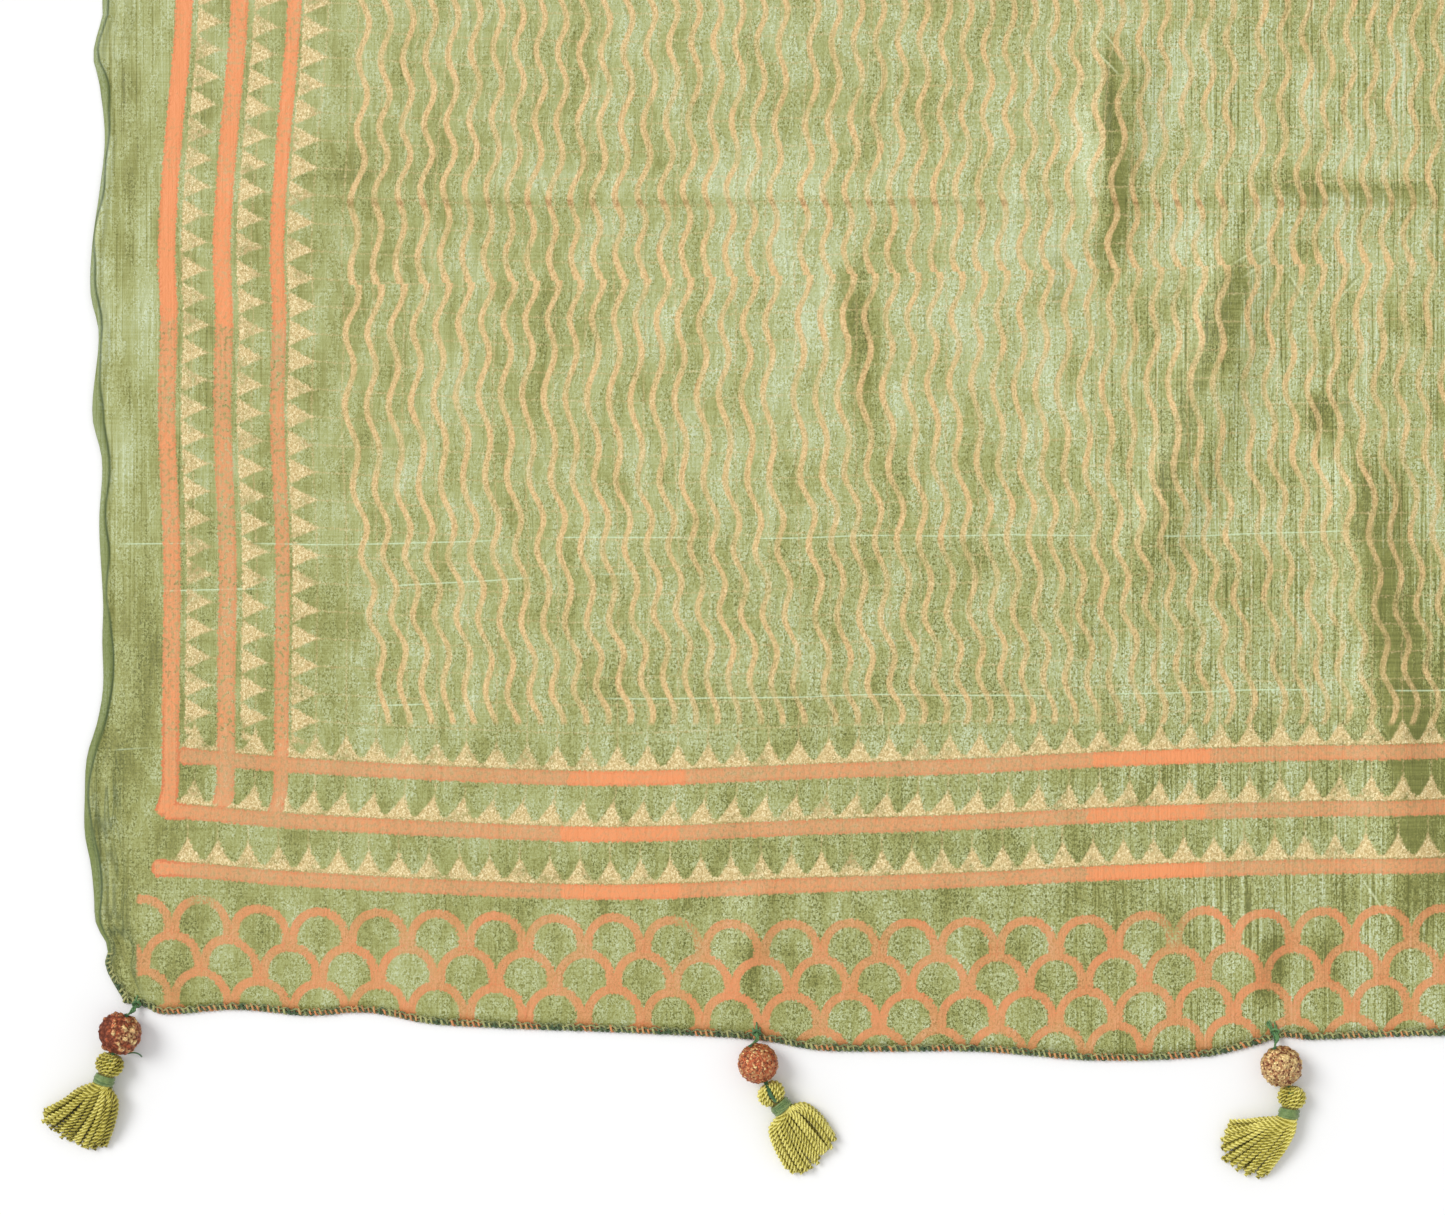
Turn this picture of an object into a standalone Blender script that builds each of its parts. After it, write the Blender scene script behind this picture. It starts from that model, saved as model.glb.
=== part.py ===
"""A dupatta: one long stole of thin silk, laid flat with one long side along Y. Each short end has a
raised overlocked edging and six drops, each a bead and a tassel of yarn on a thread. Half a turn about Z
carries one end onto the other, so every table describes the end at -Y and its left-hand long edge."""

import math

import bmesh
import bpy
from mathutils import Matrix, Vector

MM = 0.001

# Driving dimensions of the cloth, in metres
WIDTH = 0.940
LENGTH = 2.400
CLOTH_THICKNESS = 0.0014
SEAM_GAP = 0.0003
GRID_COLUMNS = 80
GRID_ROWS = 150
CLOSER_ROWS_AT_ENDS = 0.68
EDGE_REACH = 0.090
KEPT_SHARE = 0.10

# The long edges: a soft curl and, past the stretch in the table, slow waves
CURL_WIDTH = 0.014
CURL_HEIGHT = 0.0016
CURL_WAVE = 0.190
CORNER_ROUND = 0.009
CORNER_REACH = 0.020
EDGE_WAVES = (
    {"length": 0.118, "depth": 0.0018, "start": 0.6},
    {"length": 0.071, "depth": 0.0012, "start": 2.0},
)

# How far the left-hand edge lies in from straight, by distance from the corner, in millimetres
LEFT_EDGE = (
    {"along": 0.0, "inward": 9.0},
    {"along": 5.0, "inward": 6.6},
    {"along": 10.0, "inward": 4.3},
    {"along": 15.5, "inward": 2.6},
    {"along": 22.0, "inward": 3.6},
    {"along": 31.0, "inward": -0.3},
    {"along": 42.0, "inward": -1.0},
    {"along": 53.0, "inward": -2.0},
    {"along": 64.0, "inward": -4.0},
    {"along": 76.0, "inward": -4.0},
    {"along": 90.0, "inward": -3.3},
    {"along": 101.0, "inward": 0.0},
    {"along": 113.0, "inward": 2.0},
    {"along": 129.0, "inward": 1.7},
    {"along": 140.0, "inward": 2.0},
    {"along": 167.0, "inward": 0.7},
    {"along": 188.0, "inward": 1.7},
    {"along": 203.0, "inward": -1.5},
    {"along": 230.0, "inward": 0.7},
    {"along": 243.0, "inward": -2.0},
    {"along": 259.0, "inward": -1.5},
    {"along": 280.0, "inward": 1.3},
    {"along": 295.0, "inward": 2.6},
    {"along": 313.0, "inward": 0.7},
    {"along": 322.0, "inward": -1.3},
    {"along": 335.0, "inward": 1.8},
)

# How far the end's outer edge lies in from straight, by distance from the left, in millimetres
END_EDGE = (
    {"across": 0.0, "inward": 9.0},
    {"across": 9.0, "inward": 7.4},
    {"across": 14.0, "inward": 5.3},
    {"across": 23.0, "inward": 5.3},
    {"across": 44.0, "inward": 6.6},
    {"across": 69.0, "inward": 4.6},
    {"across": 89.0, "inward": 5.6},
    {"across": 112.0, "inward": 1.7},
    {"across": 181.0, "inward": -1.3},
    {"across": 217.0, "inward": -3.3},
    {"across": 240.0, "inward": -6.9},
    {"across": 291.0, "inward": -7.3},
    {"across": 330.0, "inward": -10.2},
    {"across": 366.0, "inward": -8.9},
    {"across": 382.0, "inward": -5.3},
    {"across": 391.0, "inward": -2.6},
    {"across": 400.0, "inward": -3.3},
    {"across": 445.0, "inward": -2.0},
    {"across": 500.0, "inward": -3.5},
    {"across": 540.0, "inward": -6.0},
    {"across": 570.0, "inward": -2.8},
    {"across": 640.0, "inward": -5.2},
    {"across": 700.0, "inward": -3.6},
    {"across": 750.0, "inward": -0.4},
    {"across": 820.0, "inward": 2.0},
    {"across": 880.0, "inward": 4.2},
    {"across": 920.0, "inward": 5.4},
    {"across": 931.0, "inward": 7.4},
    {"across": 940.0, "inward": 9.0},
)

# The largest folds in the laid cloth, in millimetres from the centre of the stole: each is a soft ridge
FOLDS = (
    {"x": -56, "y": -1005, "to_x": -48, "to_y": -1085, "half_width": 17, "height": 4.2},
    {"x": -49, "y": -1070, "to_x": -35, "to_y": -1166, "half_width": 17, "height": 4.6},
    {"x": -95, "y": -938, "to_x": -103, "to_y": -1008, "half_width": 16, "height": 4.0},
    {"x": -101, "y": -990, "to_x": -125, "to_y": -1052, "half_width": 15, "height": 3.4},
    {"x": -131, "y": -868, "to_x": -139, "to_y": -944, "half_width": 16, "height": 3.6},
    {"x": -254, "y": -1150, "to_x": -252, "to_y": -1186, "half_width": 12, "height": 2.2},
    {"x": -90, "y": -1152, "to_x": -82, "to_y": -1184, "half_width": 12, "height": 2.4},
    {"x": 58, "y": -1158, "to_x": 85, "to_y": -985, "half_width": 19, "height": 4.4},
    {"x": 176, "y": -1062, "to_x": 150, "to_y": -925, "half_width": 17, "height": 3.6},
    {"x": 266, "y": -1160, "to_x": 292, "to_y": -1035, "half_width": 16, "height": 4.0},
    {"x": 345, "y": -960, "to_x": 328, "to_y": -790, "half_width": 19, "height": 4.6},
    {"x": 18, "y": -905, "to_x": 47, "to_y": -715, "half_width": 18, "height": 4.2},
    {"x": -305, "y": -812, "to_x": -268, "to_y": -640, "half_width": 17, "height": 3.8},
    {"x": -158, "y": -705, "to_x": -188, "to_y": -520, "half_width": 19, "height": 4.4},
    {"x": 222, "y": -650, "to_x": 196, "to_y": -455, "half_width": 18, "height": 4.0},
    {"x": -384, "y": -492, "to_x": -350, "to_y": -300, "half_width": 17, "height": 3.6},
    {"x": 78, "y": -410, "to_x": 112, "to_y": -208, "half_width": 19, "height": 4.6},
    {"x": -88, "y": -262, "to_x": -114, "to_y": -60, "half_width": 18, "height": 4.0},
    {"x": 352, "y": -318, "to_x": 330, "to_y": -88, "half_width": 17, "height": 4.2},
)

# Creases across the width, left by folding the stole away
STORAGE_CREASES = 7
CREASE_SPACING = 0.3087
CREASE_HALF_WIDTH = 0.020
CREASE_HEIGHT = 0.0013

# The edging's section, outside in, with its flat side down
EDGING_WIDTH = 0.0026
EDGING_HEIGHT = 0.0022
EDGING_SHOULDER = 0.0010

# A drop's pieces
THREAD_RADIUS = 0.00075
KNOT_RADIUS = 0.0017
KNOT_FROM_EDGE = 0.0046
BEAD_RADIUS = 0.00675
BEAD_MOUTH_RADIUS = 0.0017
BEAD_BORE_RADIUS = THREAD_RADIUS + SEAM_GAP
BEAD_STEPS = 10
BEAD_BANDS = 6
BEAD_TO_HEAD = 0.0112
HEAD_RADIUS = 0.0044
HEAD_HALF_LENGTH = 0.0033
NECK_RADIUS = 0.0020
WRAP_RADIUS = 0.0034
WRAP_LENGTH = 0.0036
YARN_END_RADIUS = 0.0027
YARN_RING_RADIUS = 0.0014
YARN_STEPS = 8
STRAND_GAP = 0.00012
SKIRT_LENGTH = 0.0210
SKIRT_BEND_AT = 0.35
SKIRT_TIP_HEIGHT = 0.0031
SKIRT_LAYER_SHARE = 0.95
STRAND_SWELL = 1.25

# Each drop of one end: distance from the left edge and from the edging, in millimetres, then the way that its
# thread, its head, its neck and its skirt point, in degrees from straight out and towards +X, and the spread
DROPS = (
    {"across": 11.9, "reach": 7.5, "thread": -28, "head": -20, "neck": -19, "skirt": -30, "spread": 37},
    {"across": 217.8, "reach": 7.0, "thread": 2, "head": 23, "neck": 38, "skirt": 29, "spread": 40},
    {"across": 389.0, "reach": 8.4, "thread": 7, "head": 20, "neck": -10, "skirt": -46, "spread": 38},
    {"across": 569.0, "reach": 7.4, "thread": -4, "head": -16, "neck": -24, "skirt": -30, "spread": 37},
    {"across": 750.0, "reach": 7.2, "thread": 3, "head": 12, "neck": 20, "skirt": 32, "spread": 40},
    {"across": 928.0, "reach": 7.5, "thread": 28, "head": 24, "neck": 20, "skirt": 14, "spread": 36},
)
ENDS = (
    {"name": "front", "turn": 0.0},
    {"name": "back", "turn": math.pi},
)

COLOURS = {
    "cloth": {"colour": (0.42, 0.50, 0.20), "roughness": 0.45},
    "edging": {"colour": (0.06, 0.17, 0.08), "roughness": 0.70},
    "thread": {"colour": (0.05, 0.16, 0.07), "roughness": 0.65},
    "bead": {"colour": (0.36, 0.13, 0.05), "roughness": 0.35},
    "yarn": {"colour": (0.43, 0.42, 0.07), "roughness": 0.80},
    "wrap": {"colour": (0.14, 0.33, 0.11), "roughness": 0.60},
}


def clear_scene():
    for old in list(bpy.data.objects):
        bpy.data.objects.remove(old, do_unlink=True)


def new_collection(name):
    collection = bpy.data.collections.new(name)
    bpy.context.scene.collection.children.link(collection)
    return collection


def make_materials():
    materials = {}
    for name, look in COLOURS.items():
        material = bpy.data.materials.new(name)
        material.use_nodes = True
        shader = material.node_tree.nodes["Principled BSDF"]
        shader.inputs["Base Color"].default_value = (*look["colour"], 1.0)
        shader.inputs["Roughness"].default_value = look["roughness"]
        shader.inputs["Metallic"].default_value = 0.0
        material.diffuse_color = (*look["colour"], 1.0)
        materials[name] = material
    return materials


def curve_through(rows, key, value, at):
    """A smooth curve through a table's rows: cubic pieces whose slopes come from the rows on either side."""
    last = len(rows) - 1
    index = 0
    while index < last - 1 and rows[index + 1][key] <= at:
        index += 1
    before = rows[max(index - 1, 0)]
    start = rows[index]
    end = rows[index + 1]
    after = rows[min(index + 2, last)]
    span = end[key] - start[key]
    t = min(max((at - start[key]) / span, 0.0), 1.0)
    slope_in = (end[value] - before[value]) / (end[key] - before[key]) * span
    slope_out = (after[value] - start[value]) / (after[key] - start[key]) * span
    return (
        (2 * t**3 - 3 * t**2 + 1) * start[value]
        + (t**3 - 2 * t**2 + t) * slope_in
        + (3 * t**2 - 2 * t**3) * end[value]
        + (t**3 - t**2) * slope_out
    )


def left_edge_inward(along):
    """How far the left-hand edge lies in from straight, at a distance along it from the corner."""
    table_end = LEFT_EDGE[-1]["along"] * MM
    if along <= table_end:
        return curve_through(LEFT_EDGE, "along", "inward", along / MM) * MM
    waves = sum(
        wave["depth"] * math.sin(2 * math.pi * along / wave["length"] + wave["start"])
        for wave in EDGE_WAVES
    )
    grown = min((along - table_end) / EDGE_REACH, 1.0)
    joined = LEFT_EDGE[-1]["inward"] * MM * (1 - grown) + waves * grown
    corner = max(0.0, 1 - (LENGTH - along) / CORNER_REACH)
    return joined + CORNER_ROUND * corner**2


def end_edge_inward(across):
    """How far the outer edge of an end lies in from straight, at a distance across it from the left."""
    return curve_through(END_EDGE, "across", "inward", across / MM) * MM


def fade(distance):
    """The share of an edge's shape that is left at a distance in from that edge."""
    return max(0.0, 1 - distance / EDGE_REACH) ** 2


def cloth_point(across, along):
    """Where a point of the flat rectangle lies once its four edges have their shape."""
    inset = EDGING_WIDTH + SEAM_GAP
    along = inset + along * (LENGTH - 2 * inset) / LENGTH
    x = across
    x += left_edge_inward(along) * fade(across)
    x -= left_edge_inward(LENGTH - along) * fade(WIDTH - across)
    y = along
    y += end_edge_inward(across) * fade(along - inset)
    y -= end_edge_inward(WIDTH - across) * fade(LENGTH - inset - along)
    return x - WIDTH / 2, y - LENGTH / 2


def row_place(share):
    """Where a row of the grid lies along the stole: rows are closer together towards the ends."""
    full_turn = 2 * math.pi
    return LENGTH * (share - CLOSER_ROWS_AT_ENDS * math.sin(full_turn * share) / full_turn)


def ridge(x, y, fold):
    """The height of one fold at a point: rounded across, and fading out at both ends."""
    start = Vector((fold["x"], fold["y"])) * MM
    run = Vector((fold["to_x"], fold["to_y"])) * MM - start
    place = Vector((x, y)) - start
    t = place.dot(run) / run.length_squared
    if t <= 0 or t >= 1:
        return 0.0
    off = (place - run * t).length / (fold["half_width"] * MM)
    if off >= 1:
        return 0.0
    return fold["height"] * MM * (1 - off**2) ** 2 * math.sqrt(math.sin(math.pi * t))


def crease(y):
    """The height of the storage creases at a distance up the stole."""
    middle = (STORAGE_CREASES - 1) / 2
    nearest = min(max(round(y / CREASE_SPACING), -middle), middle) * CREASE_SPACING
    off = abs(y - nearest) / CREASE_HALF_WIDTH
    return CREASE_HEIGHT * (1 - off) ** 2 if off < 1 else 0.0


def curl(across, along):
    """The lift of a long edge, which comes and goes along it."""
    inward = min(across, WIDTH - across)
    if inward >= CURL_WIDTH:
        return 0.0
    swell = 0.5 + 0.5 * math.sin(2 * math.pi * along / CURL_WAVE)
    ends = min(along, LENGTH - along) / EDGE_REACH
    return CURL_HEIGHT * swell * min(ends, 1.0) * (1 - inward / CURL_WIDTH) ** 2


def cloth_height(x, y):
    """How high the underside lies. It is zero wherever the cloth rests."""
    folds = max(max(ridge(x, y, fold), ridge(-x, -y, fold)) for fold in FOLDS)
    from_side = (WIDTH / 2 - abs(x)) / EDGE_REACH
    return max(folds, crease(y) * min(max(from_side, 0.0), 1.0))


def make_cloth(collection, material):
    """One flat panel: a grid with shaped edges, raised along the folds, thinned out where it is flat."""
    shape = bmesh.new()
    bmesh.ops.create_grid(shape, x_segments=GRID_COLUMNS, y_segments=GRID_ROWS, size=0.5)
    near_edge = set()
    for vertex in shape.verts:
        across_share = vertex.co.x + 0.5
        along_share = vertex.co.y + 0.5
        columns_in = min(across_share, 1 - across_share) * GRID_COLUMNS
        rows_in = min(along_share, 1 - along_share) * GRID_ROWS
        if min(columns_in, rows_in) < 1.5:
            near_edge.add(vertex.index)
        across = across_share * WIDTH
        along = row_place(along_share)
        x, y = cloth_point(across, along)
        vertex.co = (x, y, cloth_height(x, y) + curl(across, along))
    grid = bpy.data.meshes.new("cloth_grid")
    shape.to_mesh(grid)
    shape.free()
    panel = bpy.data.objects.new("cloth_grid", grid)
    collection.objects.link(panel)
    inside = panel.vertex_groups.new(name="inside")
    inside.add([v.index for v in grid.vertices if v.index not in near_edge], 1.0, "REPLACE")
    thinned = panel.modifiers.new("thinned", "DECIMATE")
    thinned.ratio = KEPT_SHARE
    thinned.vertex_group = inside.name
    thinned.vertex_group_factor = 1.0
    bpy.context.view_layer.update()
    graph = bpy.context.evaluated_depsgraph_get()
    sheet = bpy.data.meshes.new_from_object(panel.evaluated_get(graph))
    bpy.data.objects.remove(panel, do_unlink=True)
    for vertex in sheet.vertices:
        vertex.co.z = max(vertex.co.z, 0.0)
    sheet.materials.clear()
    sheet.materials.append(material)
    sheet.shade_smooth()
    cloth = bpy.data.objects.new("cloth", sheet)
    collection.objects.link(cloth)
    wall = cloth.modifiers.new("wall", "SOLIDIFY")
    wall.thickness = CLOTH_THICKNESS
    wall.offset = 1.0
    wall.use_even_offset = True
    return cloth


def end_outline(column):
    """A point of the outer edge of the end at -Y, above one column of the cloth's grid."""
    across = column * WIDTH / GRID_COLUMNS
    x, _ = cloth_point(across, 0.0)
    return Vector((x, end_edge_inward(across) - LENGTH / 2, 0.0))


def make_edging(end, parent, section, collection, material):
    """The overlocked edge of one end: a low bead of stitching swept along the cloth's own points."""
    path = bpy.data.curves.new(f"edging_{end['name']}", "CURVE")
    path.dimensions = "3D"
    path.twist_mode = "Z_UP"
    path.bevel_mode = "OBJECT"
    path.bevel_object = section
    path.use_fill_caps = True
    spline = path.splines.new("POLY")
    spline.points.add(GRID_COLUMNS)
    for column, point in enumerate(spline.points):
        place = end_outline(column)
        point.co = (place.x, place.y + EDGING_WIDTH / 2, 0.0, 1.0)
    path.materials.append(material)
    edging = bpy.data.objects.new(f"edging_{end['name']}", path)
    edging.parent = parent
    collection.objects.link(edging)
    return edging


def make_edging_section(cutters):
    """The edging's section as a closed guide: flat below, with a shoulder on each side."""
    half = EDGING_WIDTH / 2
    outline = (
        (-half, EDGING_SHOULDER),
        (0.0, EDGING_HEIGHT),
        (half, EDGING_SHOULDER),
        (half, 0.0),
        (-half, 0.0),
    )
    guide = bpy.data.curves.new("edging_section", "CURVE")
    guide.dimensions = "2D"
    spline = guide.splines.new("POLY")
    spline.points.add(len(outline) - 1)
    spline.use_cyclic_u = True
    for point, (x, y) in zip(spline.points, outline):
        point.co = (x, y, 0.0, 1.0)
    section = bpy.data.objects.new("edging_section", guide)
    section.hide_render = True
    section.display_type = "WIRE"
    cutters.objects.link(section)
    return section


def outward(degrees):
    """A level direction, turned from straight out of the end towards +X."""
    angle = math.radians(degrees)
    return Vector((math.sin(angle), -math.cos(angle), 0.0))


def turned_mesh(name, profile, steps, closed=False):
    """A profile of (radius, distance) points turned about Y, with distance running along -Y."""
    shape = bmesh.new()
    points = [shape.verts.new((radius, -distance, 0.0)) for radius, distance in profile]
    links = list(zip(points, points[1:]))
    if closed:
        links.append((points[-1], points[0]))
    edges = [shape.edges.new(link) for link in links]
    bmesh.ops.spin(
        shape,
        geom=points + edges,
        cent=(0.0, 0.0, 0.0),
        axis=(0.0, 1.0, 0.0),
        angle=2 * math.pi,
        steps=steps,
        use_merge=True,
    )
    bmesh.ops.remove_doubles(shape, verts=shape.verts, dist=0.00001)
    bmesh.ops.recalc_face_normals(shape, faces=shape.faces)
    mesh = bpy.data.meshes.new(name)
    shape.to_mesh(mesh)
    shape.free()
    return mesh


def make_bead_mesh(material):
    """A round bead with a bore through it along Y."""
    bore_half = math.sqrt(BEAD_RADIUS**2 - BEAD_MOUTH_RADIUS**2)
    profile = []
    start = math.asin(BEAD_MOUTH_RADIUS / BEAD_RADIUS)
    for band in range(BEAD_BANDS + 1):
        angle = start + (math.pi - 2 * start) * band / BEAD_BANDS
        profile.append((BEAD_RADIUS * math.sin(angle), -BEAD_RADIUS * math.cos(angle)))
    profile.append((BEAD_BORE_RADIUS, bore_half - SEAM_GAP))
    profile.append((BEAD_BORE_RADIUS, SEAM_GAP - bore_half))
    mesh = turned_mesh("bead", profile, BEAD_STEPS, closed=True)
    mesh.materials.append(material)
    mesh.shade_smooth()
    return mesh


def make_wrap_mesh(material):
    """The turns of thread round a tassel's neck, as one ring."""
    inner = NECK_RADIUS + SEAM_GAP
    half = WRAP_LENGTH / 2
    chamfer = WRAP_LENGTH / 6
    profile = (
        (inner, -half),
        (WRAP_RADIUS - chamfer, -half),
        (WRAP_RADIUS, chamfer - half),
        (WRAP_RADIUS, half - chamfer),
        (WRAP_RADIUS - chamfer, half),
        (inner, half),
    )
    mesh = turned_mesh("wrap", profile, YARN_STEPS, closed=True)
    mesh.materials.append(material)
    mesh.shade_smooth()
    return mesh


def neck_centre():
    """Distance from the head's middle to the neck's."""
    return HEAD_HALF_LENGTH + SEAM_GAP + WRAP_LENGTH / 2


def yarn_root():
    """Distance from the head's middle to the face that the strands grow from."""
    return neck_centre() + WRAP_LENGTH / 2 + 2 * SEAM_GAP


def strand_angle(place, drop):
    """The level angle of a strand from the neck's line: the strands fan out in the order that they leave in."""
    side = place.x / YARN_END_RADIUS
    return math.radians(drop["skirt"] - drop["neck"] + drop["spread"] * side)


def strand_way(place, drop, share):
    """Where a strand that leaves the neck at a place lies, at a share of its length."""
    angle = strand_angle(place, drop)
    reach = SKIRT_LENGTH * share
    sunk = SKIRT_TIP_HEIGHT - HEAD_RADIUS
    return Vector((
        place.x + math.sin(angle) * reach,
        -yarn_root() - math.cos(angle) * reach,
        place.z * (1 - (1 - SKIRT_LAYER_SHARE) * share) + sunk * math.sqrt(share),
    ))


def make_tassel_mesh(name, drop, material):
    """A head, a neck and the yarn's cut end, whose faces are each drawn out into a strand."""
    neck_start = HEAD_HALF_LENGTH
    profile = [(0.0, -HEAD_HALF_LENGTH)]
    for angle in (35, 70, 105, 140):
        turn = math.radians(angle)
        profile.append((HEAD_RADIUS * math.sin(turn), -HEAD_HALF_LENGTH * math.cos(turn)))
    profile.append((NECK_RADIUS, neck_start - SEAM_GAP))
    profile.append((NECK_RADIUS, yarn_root() - SEAM_GAP))
    profile.append((YARN_END_RADIUS, yarn_root()))
    body = turned_mesh(name, profile, YARN_STEPS)
    shape = bmesh.new()
    shape.from_mesh(body)
    bpy.data.meshes.remove(body)
    rim = [v for v in shape.verts if v.co.y < -yarn_root() + SEAM_GAP / 2]
    rim.sort(key=lambda vertex: math.atan2(vertex.co.z, vertex.co.x))
    centre = shape.verts.new((0.0, -yarn_root(), 0.0))
    inner = YARN_RING_RADIUS / YARN_END_RADIUS
    ring = [
        shape.verts.new((rim[k].co.x * inner, -yarn_root(), rim[k].co.z * inner))
        for k in range(0, YARN_STEPS, 2)
    ]
    roots = []
    for k, here in enumerate(ring):
        after = ring[(k + 1) % len(ring)]
        outer = [rim[2 * k], rim[2 * k + 1], rim[(2 * k + 2) % YARN_STEPS]]
        roots.append(shape.faces.new((centre, here, after)))
        roots.append(shape.faces.new((here, outer[0], outer[1])))
        roots.append(shape.faces.new((here, outer[1], after)))
        roots.append(shape.faces.new((after, outer[1], outer[2])))
    bmesh.ops.recalc_face_normals(shape, faces=shape.faces)
    bmesh.ops.inset_individual(shape, faces=roots, thickness=STRAND_GAP)
    places = [face.calc_center_median() for face in roots]
    for share, turn in ((SKIRT_BEND_AT, 1.0), (1.0, 0.0)):
        drawn = bmesh.ops.extrude_discrete_faces(shape, faces=roots)["faces"]
        for place, face in zip(places, drawn):
            middle = face.calc_center_median()
            turned = Matrix.Rotation(strand_angle(place, drop) * turn, 3, "Z")
            bmesh.ops.scale(
                shape,
                vec=(STRAND_SWELL, 1.0, 1.0),
                space=Matrix.Translation(-middle),
                verts=face.verts,
            )
            bmesh.ops.rotate(shape, cent=middle, matrix=turned, verts=face.verts)
            shift = strand_way(place, drop, share) - middle
            bmesh.ops.translate(shape, verts=face.verts, vec=shift)
        roots = drawn
    mesh = bpy.data.meshes.new(name)
    shape.to_mesh(mesh)
    shape.free()
    mesh.materials.append(material)
    mesh.shade_smooth()
    mesh.set_sharp_from_angle(angle=math.radians(50))
    return mesh


def make_thread(name, drop, parent, collection, material):
    """The thread from its knot on the cloth, over the edging and through the bead, to the tassel's head."""
    bead = outward(drop["thread"]) * drop["reach"] * MM
    bead.z = BEAD_RADIUS
    bore = outward(drop["head"])
    knot = outward(drop["thread"]) * -KNOT_FROM_EDGE
    knot.z = CLOTH_THICKNESS + SEAM_GAP + KNOT_RADIUS
    entry = bead - bore * (BEAD_RADIUS + 0.8 * MM)
    leaving = bead + bore * (BEAD_RADIUS - 0.6 * MM)
    head = bead + bore * BEAD_TO_HEAD
    head.z = HEAD_RADIUS
    down = (head - leaving).normalized()
    lengthwise = down.dot(outward(drop["neck"])) / HEAD_HALF_LENGTH
    sideways = math.sqrt(1 - down.dot(outward(drop["neck"])) ** 2) / HEAD_RADIUS
    last = head - down * (1 / math.hypot(lengthwise, sideways) + SEAM_GAP)
    away = Vector((knot.x - entry.x, knot.y - entry.y, 0.0)).normalized()
    fat = KNOT_RADIUS / THREAD_RADIUS
    stations = (
        (knot + away * KNOT_RADIUS, 0.5),
        (knot + away * KNOT_RADIUS * 0.55, 0.85 * fat),
        (knot - away * KNOT_RADIUS * 0.45, 0.9 * fat),
        (knot.lerp(entry, 0.42), 1.0),
        (entry, 1.0),
        (leaving, 1.0),
        (last, 1.0),
    )
    path = bpy.data.curves.new(name, "CURVE")
    path.dimensions = "3D"
    path.bevel_depth = THREAD_RADIUS
    path.bevel_resolution = 1
    path.use_fill_caps = True
    spline = path.splines.new("POLY")
    spline.points.add(len(stations) - 1)
    for point, (place, radius) in zip(spline.points, stations):
        point.co = (*place, 1.0)
        point.radius = radius
    path.materials.append(material)
    thread = bpy.data.objects.new(name, path)
    thread.parent = parent
    collection.objects.link(thread)


def place_mesh(name, mesh, place, degrees, parent, collection):
    piece = bpy.data.objects.new(name, mesh)
    piece.location = place
    piece.rotation_euler = (0.0, 0.0, math.radians(degrees))
    piece.parent = parent
    collection.objects.link(piece)


def make_drop(end, number, drop, parent, meshes, collection, materials):
    """One drop: thread and knot, bead, tassel and the wrap round the tassel's neck."""
    name = f"drop_{end['name']}_{number}"
    across = drop["across"] * MM
    anchor = bpy.data.objects.new(f"{name}_anchor", None)
    anchor.location = (across - WIDTH / 2, end_edge_inward(across) - LENGTH / 2, 0.0)
    anchor.parent = parent
    collection.objects.link(anchor)
    make_thread(f"{name}_thread", drop, anchor, collection, materials["thread"])
    bead = outward(drop["thread"]) * drop["reach"] * MM
    bead.z = BEAD_RADIUS
    place_mesh(f"{name}_bead", meshes["bead"], bead, drop["head"], anchor, collection)
    head = bead + outward(drop["head"]) * BEAD_TO_HEAD
    head.z = HEAD_RADIUS
    tassel = make_tassel_mesh(f"{name}_tassel", drop, materials["yarn"])
    place_mesh(f"{name}_tassel", tassel, head, drop["neck"], anchor, collection)
    neck = head + outward(drop["neck"]) * neck_centre()
    place_mesh(f"{name}_wrap", meshes["wrap"], neck, drop["neck"], anchor, collection)


def main():
    clear_scene()
    collection = new_collection("dupatta")
    cutters = new_collection("dupatta_guides")
    cutters.hide_render = True
    materials = make_materials()
    make_cloth(collection, materials["cloth"])
    section = make_edging_section(cutters)
    meshes = {
        "bead": make_bead_mesh(materials["bead"]),
        "wrap": make_wrap_mesh(materials["wrap"]),
    }
    for end in ENDS:
        turned = bpy.data.objects.new(f"end_{end['name']}", None)
        turned.rotation_euler = (0.0, 0.0, end["turn"])
        collection.objects.link(turned)
        make_edging(end, turned, section, collection, materials["edging"])
        for number, drop in enumerate(DROPS, start=1):
            make_drop(end, number, drop, turned, meshes, collection, materials)


main()
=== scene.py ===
"""The looks of a dupatta: a stole of thin green silk with block prints, laid flat on a pale floor, with an
overlocked edge and six drops of bead and yarn at each short end. Half a turn about Z carries one end onto
the other, so the tables describe the end at -Y and its left-hand long edge. Tables are in millimetres."""

import functools
import math
import random

import bmesh
import bpy
import numpy as np
from mathutils import Matrix, Vector, noise


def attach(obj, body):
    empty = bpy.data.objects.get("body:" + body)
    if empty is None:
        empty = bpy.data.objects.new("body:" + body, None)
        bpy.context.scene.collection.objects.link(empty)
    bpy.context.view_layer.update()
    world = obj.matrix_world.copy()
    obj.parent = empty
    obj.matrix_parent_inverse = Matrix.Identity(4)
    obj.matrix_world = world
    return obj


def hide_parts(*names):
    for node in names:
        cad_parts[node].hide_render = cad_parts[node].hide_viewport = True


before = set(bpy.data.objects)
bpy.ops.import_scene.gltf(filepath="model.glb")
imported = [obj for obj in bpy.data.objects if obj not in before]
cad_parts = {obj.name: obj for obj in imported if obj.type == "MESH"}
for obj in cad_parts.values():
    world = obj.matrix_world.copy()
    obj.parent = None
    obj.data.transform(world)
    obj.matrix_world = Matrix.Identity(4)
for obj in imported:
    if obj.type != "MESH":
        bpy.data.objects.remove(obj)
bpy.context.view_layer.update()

MM = 0.001
WIDTH = 940.0
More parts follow.
